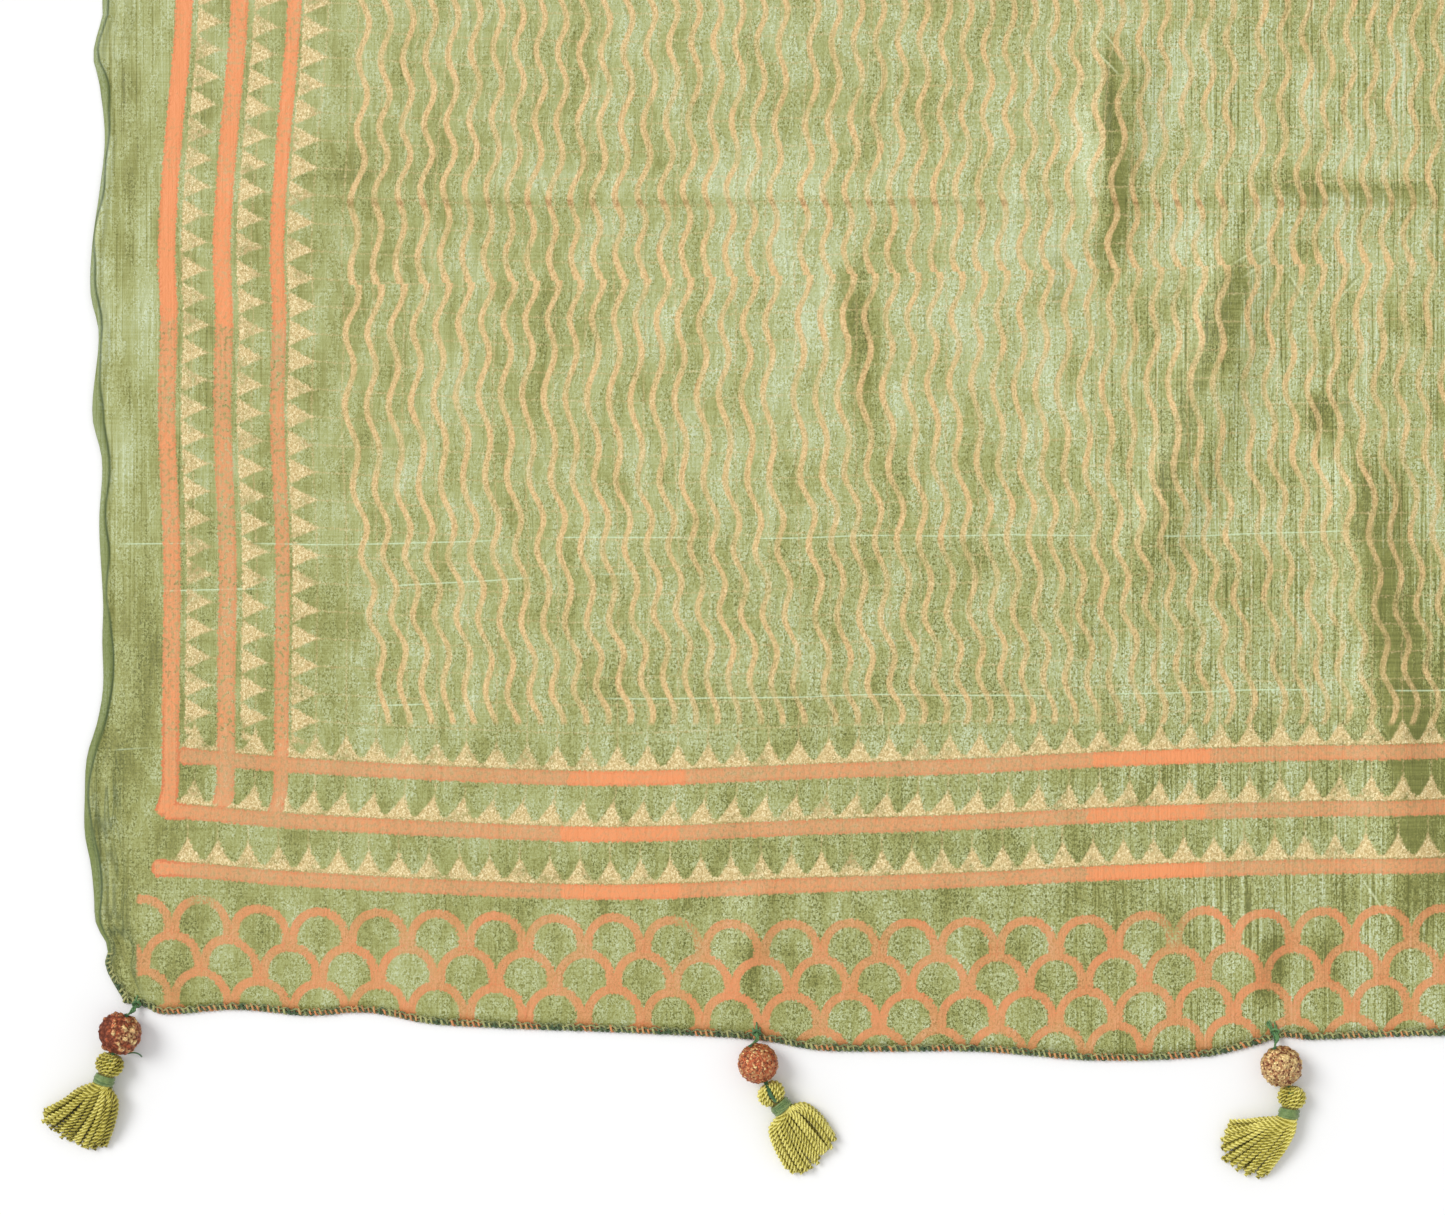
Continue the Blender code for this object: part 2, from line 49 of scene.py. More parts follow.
LENGTH = 2400.0
SILK_THICKNESS = 0.45
EDGE_REACH = 90.0
SEAM_GAP = 0.3
HEM_INSET = 0.9
CORNER_ROUND = 9.0
CORNER_REACH = 20.0
EDGE_WAVES = ((118.0, 1.8, 0.6), (71.0, 1.2, 2.0))
FLAT_NOISE_STEP = 17.3

# The left-hand edge: distance from the corner, and how far the edge lies in from straight
LEFT_EDGE = (
    (0, 9.0), (5, 6.6), (10, 4.3), (15.5, 2.6), (22, 3.6), (31, -0.3), (42, -1.0), (53, -2.0), (64, -4.0),
    (76, -4.0), (90, -3.3), (101, 0.0), (113, 2.0), (129, 1.7), (140, 2.0), (167, 0.7), (188, 1.7),
    (203, -1.5), (230, 0.7), (243, -2.0), (259, -1.5), (280, 1.3), (295, 2.6), (313, 0.7), (322, -1.3),
    (335, 1.8),
)

# The end's outer edge: distance from the left, and how far the edge lies in from straight
END_EDGE = (
    (0, 9.0), (9, 7.4), (14, 5.3), (23, 5.3), (44, 6.6), (69, 4.6), (89, 5.6), (112, 1.7), (181, -1.3),
    (217, -3.3), (240, -6.9), (291, -7.3), (330, -10.2), (366, -8.9), (382, -5.3), (391, -2.6), (400, -3.3),
    (445, -2.0), (500, -3.5), (540, -6.0), (570, -2.8), (640, -5.2), (700, -3.6), (750, -0.4), (820, 2.0),
    (880, 4.2), (920, 5.4), (931, 7.4), (940, 9.0),
)

# The solid's folds: start, end, half width and height
FOLDS = (
    (-56, -1005, -48, -1085, 17, 4.2), (-49, -1070, -35, -1166, 17, 4.6), (-95, -938, -103, -1008, 16, 4.0),
    (-101, -990, -125, -1052, 15, 3.4), (-131, -868, -139, -944, 16, 3.6),
    (-254, -1150, -252, -1186, 12, 2.2), (-90, -1152, -82, -1184, 12, 2.4), (58, -1158, 85, -985, 19, 4.4),
    (176, -1062, 150, -925, 17, 3.6), (266, -1160, 292, -1035, 16, 4.0), (345, -960, 328, -790, 19, 4.6),
    (18, -905, 47, -715, 18, 4.2), (-305, -812, -268, -640, 17, 3.8), (-158, -705, -188, -520, 19, 4.4),
    (222, -650, 196, -455, 18, 4.0), (-384, -492, -350, -300, 17, 3.6), (78, -410, 112, -208, 19, 4.6),
    (-88, -262, -114, -60, 18, 4.0), (352, -318, 330, -88, 17, 4.2),
)
STORAGE_CREASES = 7
CREASE_SPACING = 308.7
CREASE_HALF_WIDTH = 20.0
CREASE_HEIGHT = 1.3

# Each drop: distance from the left and from the edging, and the way that its thread, head and neck point, in
# degrees from straight out and towards +X
DROPS = (
    (11.9, 7.5, -28, -20, -19), (217.8, 7.0, 2, 23, 38), (389.0, 8.4, 7, 20, -10),
    (569.0, 7.4, -4, -16, -24), (750.0, 7.2, 3, 12, 20), (928.0, 7.5, 28, 24, 20),
)
BEAD_RADIUS = 6.75
BEAD_TO_HEAD = 11.2
HEAD_RADIUS = 4.4
HEAD_HALF_LENGTH = 3.3
WRAP_LENGTH = 3.6
HEAD_LOOPS = 16
SKIRT_STRANDS = 40
STITCH_PITCH = 1.75

# Which skirt each drop has, whether it is turned over, and how dull its yarn is
SKIRT_SHAPES = (
    (0, False, 0.13), (1, False, -0.11), (2, False, 0.0), (0, False, 0.08), (1, True, -0.06),
    (1, False, 0.0),
)

# A skirt's left side, the tips between, and its right side, from the middle of the head, with -Y outwards
SKIRTS = (
    (
        ((-2.6, -7.2), (-7.0, -11.3), (-10.5, -16.3), (-15.3, -21.6)),
        ((-14.5, -25.0), (-8.0, -28.3), (-1.4, -28.8), (4.0, -28.2)),
        ((2.7, -7.2), (6.0, -11.0), (7.4, -18.4), (7.4, -26.6)),
    ),
    (
        ((-2.6, -7.0), (-7.6, -9.4), (-10.2, -15.5), (-11.2, -24.0)),
        ((-8.6, -26.8), (-3.6, -27.6), (1.0, -26.9), (5.6, -26.0)),
        ((2.6, -7.0), (7.4, -9.8), (8.9, -16.5), (8.6, -23.2)),
    ),
    (
        ((-2.8, -7.0), (-9.0, -9.2), (-13.5, -10.8), (-18.0, -12.4)),
        ((-19.4, -18.5), (-17.6, -24.6), (-12.0, -27.3), (-7.0, -27.8)),
        ((2.6, -7.0), (3.0, -11.5), (1.2, -18.6), (-2.6, -27.4)),
    ),
)

# Each bead: the size and depth of its flakes, how much they swell it, its gilt, its brown, and the gilt's way
BEADS = (
    (1.9, 0.85, 0.50, 0.12, 1.0, (0.65, 0.3, 0.7)), (0.78, 0.45, 0.0, 0.26, 0.5, (0.0, 0.5, 0.8)),
    (1.25, 0.75, 0.30, 1.1, 0.7, (0.1, -0.1, 1.0)), (1.6, 0.7, 0.3, 0.0, 1.0, (0.65, 0.3, 0.7)),
    (0.8, 0.45, 0.0, 0.24, 0.6, (0.0, 0.5, 0.8)), (1.3, 0.65, 0.2, 0.8, 0.75, (0.1, -0.1, 1.0)),
)
GILT_ON_ONE_SIDE = (1, 4)

# The loose end of the first drop's thread, from its knot
LOOSE_TAIL = ((-3.2, -12.6, 6.0), (-1.8, -13.4, 5.2), (0.6, -13.3, 4.0), (2.0, -13.9, 2.6), (2.7, -15.0, 1.0))

# How far the printing lies off its straight layout: a place along it, and the shift
LINES_ASIDE = (
    (0, -1.0), (60, -1.0), (71, -0.9), (78, 0.9), (94, 1.4), (113, 1.5), (155, 1.8), (203, 0.0), (235, 0.7),
    (257, -0.1), (287, 1.6), (340, 5.8), (380, 5.0), (430, 1.0), (500, 2.5), (600, -1.0), (700, 2.0),
    (850, 0.0), (1000, 2.0), (1200, 0.0), (2400, 0.0),
)
ROWS_ASIDE = (
    (0, 0.0), (23, 0.0), (63, 3.3), (133, 6.9), (174, 7.8), (232, 5.6), (291, 3.6), (328, 1.7), (387, -0.3),
    (445, -1.3), (520, -3.0), (600, -1.0), (700, 2.0), (800, 1.0), (880, -1.0), (940, 0.0),
)
SCALES_ASIDE = (
    (0, -3.3), (35, -3.3), (55, 0.0), (113, 1.3), (151, 2.8), (170, 2.5), (211, 4.6), (230, 4.6),
    (308, 3.6), (327, 3.1), (346, 1.9), (367, 0.2), (385, 1.0), (445, -0.7), (560, 1.5), (700, 3.0),
    (820, 0.5), (940, 0.0),
)
WAVES_ASIDE = (
    (0, 9.7), (103, 9.7), (142, 5.4), (175, 2.1), (205, -1.3), (231, -0.8), (246, 1.2), (263, 0.6),
    (300, 3.4), (340, 3.8), (420, 2.0), (520, -1.0), (640, 3.0), (800, 0.0), (1200, 2.0), (2400, 0.0),
)

# The camera and the light: the picture's width and centre are in metres, on the cloth
LENS = 85.0
SENSOR = 36.0
PICTURE_WIDTH = 0.47685
PICTURE_CENTRE = (-0.26359, -1.06058)
SKY_LIGHT = 0.72
WINDOW_LIGHT = 1.75
WINDOW_SPREAD = 28
WINDOW_FROM = (-0.72, 0.42, 0.9)


def srgb(red, green, blue):
    """A colour given as screen values from 0 to 255, as the light values that a shader wants."""
    values = [v / 255 for v in (red, green, blue)]
    return tuple(v / 12.92 if v <= 0.04045 else ((v + 0.055) / 1.055) ** 2.4 for v in values) + (1.0,)


def curve_through(rows, at):
    """A smooth curve through a table's rows, with slopes from the rows on either side."""
    places, values = np.array(rows, float).T
    slopes = np.empty_like(values)
    slopes[1:-1] = (values[2:] - values[:-2]) / (places[2:] - places[:-2])
    slopes[0] = (values[1] - values[0]) / (places[1] - places[0])
    slopes[-1] = (values[-1] - values[-2]) / (places[-1] - places[-2])
    at = np.clip(at, places[0], places[-1])
    index = np.clip(np.searchsorted(places, at, side="right") - 1, 0, len(rows) - 2)
    span = places[index + 1] - places[index]
    t = (at - places[index]) / span
    return (
        (2 * t**3 - 3 * t**2 + 1) * values[index]
        + (t**3 - 2 * t**2 + t) * span * slopes[index]
        + (3 * t**2 - 2 * t**3) * values[index + 1]
        + (t**3 - t**2) * span * slopes[index + 1]
    )


def smooth(value, low, high):
    t = np.clip((value - low) / (high - low), 0, 1)
    return t * t * (3 - 2 * t)


def mound(value, centre, half):
    return np.clip(1 - ((value - centre) / half) ** 2, 0, None)


def left_edge_inward(along):
    """How far the left-hand edge lies in from straight, at a distance along it from the corner."""
    last_place, last_value = LEFT_EDGE[-1]
    waves = sum(deep * np.sin(2 * np.pi * along / long + start) for long, deep, start in EDGE_WAVES)
    grown = np.clip((along - last_place) / EDGE_REACH, 0, 1)
    corner = np.clip(1 - (LENGTH - along) / CORNER_REACH, 0, None)
    far = last_value * (1 - grown) + waves * grown + CORNER_ROUND * corner**2
    return np.where(along <= last_place, curve_through(LEFT_EDGE, along), far)


def end_edge_inward(across):
    return curve_through(END_EDGE, across)


def fade(distance):
    return np.clip(1 - distance / EDGE_REACH, 0, None) ** 2


def cloth_point(across, along):
    """Where a point of the flat rectangle lies once its four edges have their shape."""
    inset = HEM_INSET
    along = inset + along * (LENGTH - 2 * inset) / LENGTH
    x = across + left_edge_inward(along) * fade(across)
    x = x - left_edge_inward(LENGTH - along) * fade(WIDTH - across)
    y = along + end_edge_inward(across) * fade(along - inset)
    y = y - end_edge_inward(WIDTH - across) * fade(LENGTH - inset - along)
    return x - WIDTH / 2, y - LENGTH / 2


def stroke(x, y, row, sharp=2.0):
    """One soft stroke from a table row, at its full value along the middle of its run."""
    start_x, start_y, end_x, end_y, half, amount = row
    run_x, run_y = end_x - start_x, end_y - start_y
    t = ((x - start_x) * run_x + (y - start_y) * run_y) / (run_x**2 + run_y**2)
    off = np.hypot(x - start_x - run_x * t, y - start_y - run_y * t) / half
    ends = np.sqrt(np.sin(np.pi * np.clip(t, 0, 1)))
    return amount * np.clip(1 - off**2, 0, None) ** sharp * ends


def cloth_height(x, y):
    """How high the solid's underside lies, from its folds and the creases that storing it has left."""
    height = np.zeros_like(x)
    for row in FOLDS:
        height = np.maximum(height, np.maximum(stroke(x, y, row), stroke(-x, -y, row)))
    middle = (STORAGE_CREASES - 1) / 2
    nearest = np.clip(np.round(y / CREASE_SPACING), -middle, middle) * CREASE_SPACING
    crease = CREASE_HEIGHT * np.clip(1 - np.abs(y - nearest) / CREASE_HALF_WIDTH, 0, None) ** 2
    return np.maximum(height, crease * np.clip((WIDTH / 2 - np.abs(x)) / EDGE_REACH, 0, 1))


# Smaller wrinkles: start, end, half width and height, which is a trough where it is negative
WRINKLES = (
    (-228, -940, -218, -1000, 9, 0.8), (-236, -935, -226, -990, 7, -0.6), (-139, -860, -133, -955, 7, 0.9),
    (-66, -985, -68, -1010, 8, 1.0), (-93, -921, -28, -922, 6, 0.8), (-250, -1150, -256, -1192, 5, 0.9),
    (-262, -1160, -258, -1192, 4, 0.7), (-243, -1158, -251, -1190, 4, -0.6),
    (-88, -1150, -86, -1192, 5, 0.9), (-98, -1158, -89, -1192, 4, 0.8), (-78, -1160, -84, -1190, 4, -0.7),
    (-72, -1148, -66, -1188, 5, 0.7), (-190, -1040, -182, -1120, 7, 0.5),
    (-172, -1110, -178, -1180, 6, 0.5), (-300, -900, -292, -990, 10, 0.5), (-20, -1120, -15, -1185, 8, 0.8),
    (-115, -1120, -110, -1180, 6, 0.5), (20, -1080, 40, -1180, 9, 0.8), (120, -1150, 118, -1190, 6, 0.8),
    (95, -1080, 110, -1000, 9, 0.7), (205, -1130, 230, -1040, 9, 0.7), (310, -1140, 322, -1190, 7, 0.8),
    (180, -900, 190, -800, 10, 0.7), (250, -960, 240, -850, 8, 0.7), (-40, -830, -30, -720, 10, 0.7),
    (-200, -830, -190, -730, 9, 0.7), (90, -800, 80, -700, 9, 0.7), (400, -1090, 392, -1000, 8, 0.7),
    (410, -740, 402, -620, 9, 0.7), (-410, -700, -400, -560, 9, 0.6), (-60, -600, -70, -470, 10, 0.8),
    (60, -560, 72, -430, 9, 0.7), (300, -560, 290, -430, 9, 0.7), (-250, -420, -240, -300, 10, 0.8),
    (-20, -300, -8, -170, 9, 0.7), (220, -260, 212, -120, 9, 0.7), (-330, -190, -322, -60, 9, 0.7),
    (-200, -90, -192, 60, 9, 0.7), (60, -60, 52, 70, 9, 0.7),
)

# Where the silk turns dark, or pale, as its folds catch the light: start, end, half width and strength
TONES = (
    (-455, -1190, -455, -700, 14, -0.25), (-460, -950, -462, -860, 7, -0.5),
    (-437, -880, -437, -700, 9, 0.25), (-380, -1010, -376, -890, 16, -0.20),
    (-330, -1060, -318, -860, 24, -0.22), (-360, -960, -350, -860, 18, -0.2),
    (-250, -905, -230, -1010, 22, 0.35), (-222, -945, -214, -1002, 7, -0.9),
    (-205, -1000, -212, -1040, 10, -0.35), (-136, -868, -134, -955, 4, -1.2),
    (-128, -900, -128, -952, 5, -0.4), (-95, -945, -101, -982, 6, -1.5), (-106, -975, -125, -1052, 7, -0.7),
    (-93, -921, -28, -922, 4, -1.1), (-66, -990, -68, -1004, 6, -1.3), (-50, -1000, -30, -1170, 12, -0.9),
    (-36, -1040, -20, -1160, 16, -0.6), (-145, -1120, -140, -1190, 10, -0.2),
    (-254, -1166, -254, -1194, 5, -1.0), (-246, -1172, -230, -1186, 4, -0.7),
    (-82, -1168, -84, -1194, 5, -1.0), (-70, -1168, -60, -1184, 5, -0.6),
    (-118, -1155, -108, -1175, 6, -0.5), (-160, -1010, -155, -880, 22, 0.3),
    (-190, -1010, -180, -900, 16, 0.25), (-60, -880, -50, -960, 16, 0.3), (-110, -860, -112, -960, 14, 0.3),
    (-440, -917, -360, -919, 4, -0.3), (-360, -919, -200, -922, 4, 0.25),
    (-280, -1046, -60, -1048, 13, -0.22), (-330, -1094, -150, -1090, 10, -0.2),
    (-340, -1145, -100, -1150, 18, -0.22), (-300, -1188, -130, -1192, 8, -0.15),
)


def hills(x, y, size, seed):
    """Slow random hills and hollows, between -1 and 1 or so."""
    places = zip((x / size).tolist(), (y / size).tolist())
    return np.array([noise.noise(Vector((a, b, seed))) for a, b in places])


def spread(*runs):
    """Places along a line, from runs of (start, end, number of steps)."""
    places = [np.linspace(start, end, steps, endpoint=False) for start, end, steps in runs]
    return np.append(np.concatenate(places), runs[-1][1])


def shift_both(rows, at, whole, share):
    """A table's shift on this side of the cloth and, turned half round, on the other side."""
    return curve_through(rows, at) * (1 - share) - curve_through(rows, whole - at) * share


def print_places(x, y):
    """Where a point of the cloth is in the printing: across, along, and its place for waves and scales."""
    across, along = x + WIDTH / 2, y + LENGTH / 2
    right = smooth(x, -200, 200)
    back = smooth(y, -300, 300)
    return (
        across - shift_both(LINES_ASIDE, along, LENGTH, right),
        along + shift_both(ROWS_ASIDE, across, WIDTH, back),
        across - curve_through(WAVES_ASIDE, along),
        along + shift_both(SCALES_ASIDE, across, WIDTH, back),
    )


def add_object(name, data):
    made = bpy.data.objects.new(name, data)
    bpy.context.scene.collection.objects.link(made)
    return made


def add_attribute(mesh, name, *columns):
    values = np.stack([*columns, *[np.zeros(len(mesh.vertices))] * (3 - len(columns))], 1)
    made = mesh.attributes.new(name, "FLOAT_VECTOR", "POINT")
    made.data.foreach_set("vector", values.astype(np.float32).ravel())


def make_silk(material):
    """The cloth as a thin closed shell: a fine top, and an underside thinned out where nothing shows."""
    columns = spread((0, 5.6, 8), (5.6, 12, 4), (12, 928, 216), (928, 934.4, 4), (934.4, WIDTH, 8))
    rows = spread((0, 400, 104), (400, 2000, 140), (2000, LENGTH, 104))
    across, along = (values.ravel() for values in np.meshgrid(columns, rows))
    x, y = cloth_point(across, along)
    edge = np.minimum(across, WIDTH - across)
    end = np.minimum(along, LENGTH - along)
    inner = smooth(edge, 0, 12) * smooth(end, 0, 8)
    height = cloth_height(x, y)
    for row in WRINKLES:
        height += stroke(x, y, row) + stroke(-x, -y, row)
    slow = 0.35 + 0.9 * hills(x, y, 46, 1.5) + 0.45 * hills(x, y * 0.45, 13, 7.5)
    height += slow * inner
    height += 0.75 * mound(edge, 1.7, 1.7) * smooth(end, 0, 6)
    height += 0.8 * (mound(edge, 3.4, 1.1) + mound(edge, 6.5, 1.3)) * smooth(end, 6, 16) * smooth(end, 96, 76)
    height += 0.35 * smooth(end, 5, 0)
    curl = 0.5 + 0.5 * np.sin(2 * np.pi * along / 190)
    height += 1.2 * curl * np.clip(end / EDGE_REACH, 0, 1) * np.clip(1 - edge / 14, 0, None) ** 2
    mesh = bpy.data.meshes.new("silk")
    across_count, along_count = len(columns), len(rows)
    first = (np.arange(along_count - 1)[:, None] * across_count + np.arange(across_count - 1)).ravel()
    faces = np.stack([first, first + 1, first + across_count + 1, first + across_count], 1)
    places = np.stack([x, y, np.clip(height, 0.02, None)], 1) * MM
    mesh.from_pydata(places.tolist(), [], faces.tolist())
    lines, rows_place, waves, scales = print_places(x, y)
    # tone: the painted shade and highlight where the folds turn from the light or catch it
    tone = sum(stroke(x, y, row, 1.0) + stroke(-x, -y, row, 1.0) for row in TONES)
    add_attribute(mesh, "print_place", lines, rows_place, waves)
    add_attribute(mesh, "scales_painted_light_and_edge", scales, tone, edge)
    mesh.materials.append(material)
    mesh.shade_smooth()
    draft = add_object("silk_draft", mesh)
    draft.vertex_groups.new(name="under")
    shell = draft.modifiers.new("shell", "SOLIDIFY")
    shell.thickness = SILK_THICKNESS * MM
    shell.offset = 1.0
    shell.shell_vertex_group = "under"
    thinned = draft.modifiers.new("thinned", "DECIMATE")
    thinned.ratio = 0.56
    thinned.vertex_group = "under"
    graph = bpy.context.evaluated_depsgraph_get()
    made = bpy.data.meshes.new_from_object(draft.evaluated_get(graph))
    bpy.data.objects.remove(draft, do_unlink=True)
    made.name = "dupatta_silk"
    return add_object("dupatta_silk", made)


def feed(tree, slot, value):
    """Sets a node's input to a number or a screen colour, or links what a material works out."""
    if isinstance(value, Value):
        value = value.socket
    if isinstance(value, bpy.types.NodeSocket):
        tree.links.new(value, slot)
    else:
        slot.default_value = srgb(*value) if isinstance(value, tuple) else value


def add_node(tree, kind, inputs, **settings):
    """A new shader node, with its settings, and its inputs by name or number."""
    node = tree.nodes.new("ShaderNode" + kind)
    for name, value in settings.items():
        setattr(node, name, value)
    for slot, value in inputs.items():
        feed(tree, node.inputs[slot], value)
    return node


class Value:
    """A number that a material works out at each point, with ordinary arithmetic. One that is a product
    remembers its factors, so that a sum with it takes one node, which makes the render quicker."""

    def __init__(self, tree, socket, factors=None):
        self.tree = tree
        self.socket = socket
        self.factors = factors

    def made(self, operation, *others):
        node = add_node(self.tree, "Math", dict(enumerate((self, *others))), operation=operation)
        return Value(self.tree, node.outputs[0])

    def __mul__(self, other):
        return Value(self.tree, self.made("MULTIPLY", other).socket, (self, other))

    def __add__(self, other):
        if isinstance(other, Value) and other.factors:
            self, other = other, self
        if self.factors:
            first, second = self.factors
            return first.made("MULTIPLY_ADD", second, other)
        return self.made("ADD", other)

    def __sub__(self, other):
        if not isinstance(other, Value):
            return self + -other
        if other.factors and not isinstance(other.factors[1], Value):
            return other.factors[0].made("MULTIPLY_ADD", -other.factors[1], self)
        return self.made("SUBTRACT", other)

    def __rsub__(self, other):
        return self.made("MULTIPLY_ADD", -1.0, other)

    __radd__ = __add__
    __rmul__ = __mul__

    def rise(self, low, high):
        """0 below low and 1 above high, with a smooth step between; it falls where low is the higher."""
        inputs = {"Value": self, "From Min": low, "From Max": high}
        node = add_node(self.tree, "MapRange", inputs, interpolation_type="SMOOTHSTEP")
        return Value(self.tree, node.outputs["Result"])

    def band(self, centre, half, soft):
        """1 within half of a centre, and 0 beyond it."""
        return abs(self - centre).rise(half + soft, half - soft)

    def kept(self):
        """The number, kept between 0 and 1."""
        return Value(self.tree, add_node(self.tree, "Clamp", {"Value": self}).outputs[0])


ARITHMETIC = {
    "__truediv__": "DIVIDE", "__mod__": "FLOORED_MODULO", "__pow__": "POWER", "__abs__": "ABSOLUTE",
    "least": "MINIMUM", "most": "MAXIMUM",
}
for method, operation in ARITHMETIC.items():
    setattr(Value, method, functools.partialmethod(Value.made, operation))


def strongest(marks):
    """At each place, the highest of several marks."""
    return functools.reduce(Value.most, marks)


class Look:
    """A material with its Principled shader, and the nodes that the materials here are made of."""

    def __init__(self, name, roughness, **plain):
        self.material = bpy.data.materials.new(name)
        self.material.use_nodes = True
        self.tree = self.material.node_tree
        self.shader = self.tree.nodes["Principled BSDF"]
        for slot, value in {"Roughness": roughness, **plain}.items():
            self.give(slot.replace("_", " "), value)

    def give(self, slot, value):
        feed(self.tree, self.shader.inputs[slot], value)

    def node(self, kind, inputs, **settings):
        return add_node(self.tree, kind, inputs, **settings)

    def parts(self, vector):
        return [Value(self.tree, out) for out in self.node("SeparateXYZ", {0: vector}).outputs]

    def places(self):
        """The point's own place on its piece, in millimetres."""
        return [value * 1000.0 for value in self.parts(self.node("TexCoord", {}).outputs["Object"])]

    def attribute(self, name):
        return self.parts(self.node("Attribute", {}, attribute_name=name).outputs["Vector"])

    def spot(self, x, y, z):
        return self.node("CombineXYZ", {0: x, 1: y, 2: z}).outputs[0]

    def noise(self, x, y, z=0.0, detail=2.0, rough=0.55, twist=0.0):
        """Noise around 0.5; a plain number for z is a place in flat noise, which is quicker."""
        kind = "3D"
        if not isinstance(z, Value):
            kind, x, z = "2D", x + z * FLAT_NOISE_STEP, 0.0
        inputs = {"Vector": self.spot(x, y, z), "Scale": 1.0, "Detail": detail, "Roughness": rough}
        node = self.node("TexNoise", {**inputs, "Distortion": twist}, noise_dimensions=kind)
        return Value(self.tree, node.outputs[0])

    def mixed(self, share, first, second):
        return self.node("Mix", {0: share, 6: first, 7: second}, data_type="RGBA").outputs[2]

    def ramp(self, value, *stops):
        """Screen colours along a value, each after its place."""
        node = self.node("ValToRGB", {0: value})
        marks = node.color_ramp.elements
        while len(marks) < len(stops):
            marks.new(0.5)
        for mark, (place, *colour) in zip(marks, stops):
            mark.position = place
            mark.color = srgb(*colour)
        return node.outputs[0]

    def bump(self, height, strength):
        """Height is in millimetres."""
        node = self.node("Bump", {"Strength": strength, "Distance": MM, "Height": height})
        self.give("Normal", node.outputs[0])


# The printed layout: lines along the long edge and along the end, each a centre, half width and start
LONG_LINES = ((22.8, 2.8, 70.5), (41.1, 2.9, 74.5), (59.3, 2.3, 70.5))
END_LINES = ((90.75, 2.45, 25.0), (72.3, 2.5, 22.0), (53.2, 2.45, 18.8))
END_STAMP = 173.7
END_STAMP_START = 154.0

# The gold teeth: base and height of those along the long edge, and the pitch and first tip of all
LONG_TEETH = ((27.6, 9.0), (46.0, 9.0), (62.6, 9.4))
TOOTH_PITCH_LONG = 9.14
TOOTH_TIP_LONG = 124.0
TOOTH_PITCH_END = 9.966
TOOTH_TIP_END = 80.65
TOOTH_HEIGHT_END = 8.7

SCALE_PITCH = 19.47
SCALE_START = 35.3
SCALE_ROW = 11.9
SCALE_TOP = 39.6
SCALE_RADIUS = 8.55
SCALE_HALF_LINE = 1.4
SCALE_STAMP = 160.0
SCALE_STAMP_START = 195.7

# The waves: where each block's turns start, their length, and how many turns are taken off
WAVE_LENGTHS = ((264.3, 22.7, 0.0), (245.2, 26.0, 0.0), (167.3, 22.35, 3.0))
WAVE_PITCH = 7.26
WAVE_SWING = 1.6
WAVE_BLOCK = 148.2
WAVE_START = 81.0
WAVE_TILT = 0.0217
WAVE_JOIN = 246.0
STORAGE_CREASE = 273.0

# Crisp folds with painted shade on the right of their run, or on its left where the width is negative:
# start, end, width and strength
SHADED_FOLDS = (
    (-57.5, -1003, -36, -1168, 17, 0.80), (-98, -945, -101, -976, 11, 0.62),
    (-104, -968, -122, -1030, 8, 0.5), (-130.8, -890, -130.2, -948, -6, 0.75),
    (-139.5, -871, -132.5, -889, 7, 0.55), (-142, -935, -137, -954, 5, 0.5),
    (-156.5, -940, -153, -968, 5, 0.4), (-228, -945, -219, -1004, 6, 0.35),
    (-94, -921.5, -24, -922.5, -7, 0.55), (-62, -992, -56, -1001, 5, 0.7),
)
# Thin creases with a painted highlight on one side and painted shade on the other: start and end
THIN_CREASES = (
    (-96.5, -947.5, -80.5, -938), (-93, -952, -79, -942.5), (-139, -869, -131, -879),
    (-141, -876, -131.5, -886), (-70, -961, -78, -949), (-60, -958, -52, -950), (-146, -943, -150, -962),
    (-52, -1150, -40, -1168),
)

# Dyes from the darkest to the palest, the silk's greens also giving the painted shade and highlight of its
# folds and crinkles: a place on the ramp, and a colour as on a screen
SILK_GREENS = (
    (0.02, 98, 102, 40), (0.30, 139, 140, 71), (0.50, 164, 169, 105), (0.72, 182, 190, 141),
    (0.95, 203, 214, 180),
)
WAVE_GOLDS = ((0.1, 166, 124, 74), (0.4, 210, 171, 114), (0.65, 232, 202, 144))
TOOTH_GOLDS = ((0.32, 186, 156, 98), (0.50, 214, 188, 130), (0.66, 246, 230, 180))

# Single wefts that shine: how far up, its slope, start, end
BRIGHT_WEFTS = (
    (160.0, -0.01, 4, 620), (143.6, -0.036, 20, 190), (107.0, -0.012, 70, 470), (91.0, -0.06, 5, 25),
)


def printed_lines(across, along):
    """The orange lines, and the paler core inside each one's darker rim."""
    rows = [(row, along, across) for row in LONG_LINES] + [(row, across, along) for row in END_LINES]
    marks, cores = [], []
    for (centre, half, start), run, off in rows:
        wide = half + run.rise(start + 9.0, start + 3.0) * 0.45
        off = abs(off - centre)
        begun = (run - off * off * 0.18).rise(start - 0.4, start + 0.5)
        marks.append(off.rise(wide + 0.3, wide - 0.3) * begun)
        cores.append(off.rise(wide - 0.4, wide - 1.1) * run.rise(start + 0.5, start + 1.4))
    return strongest(marks), strongest(cores)


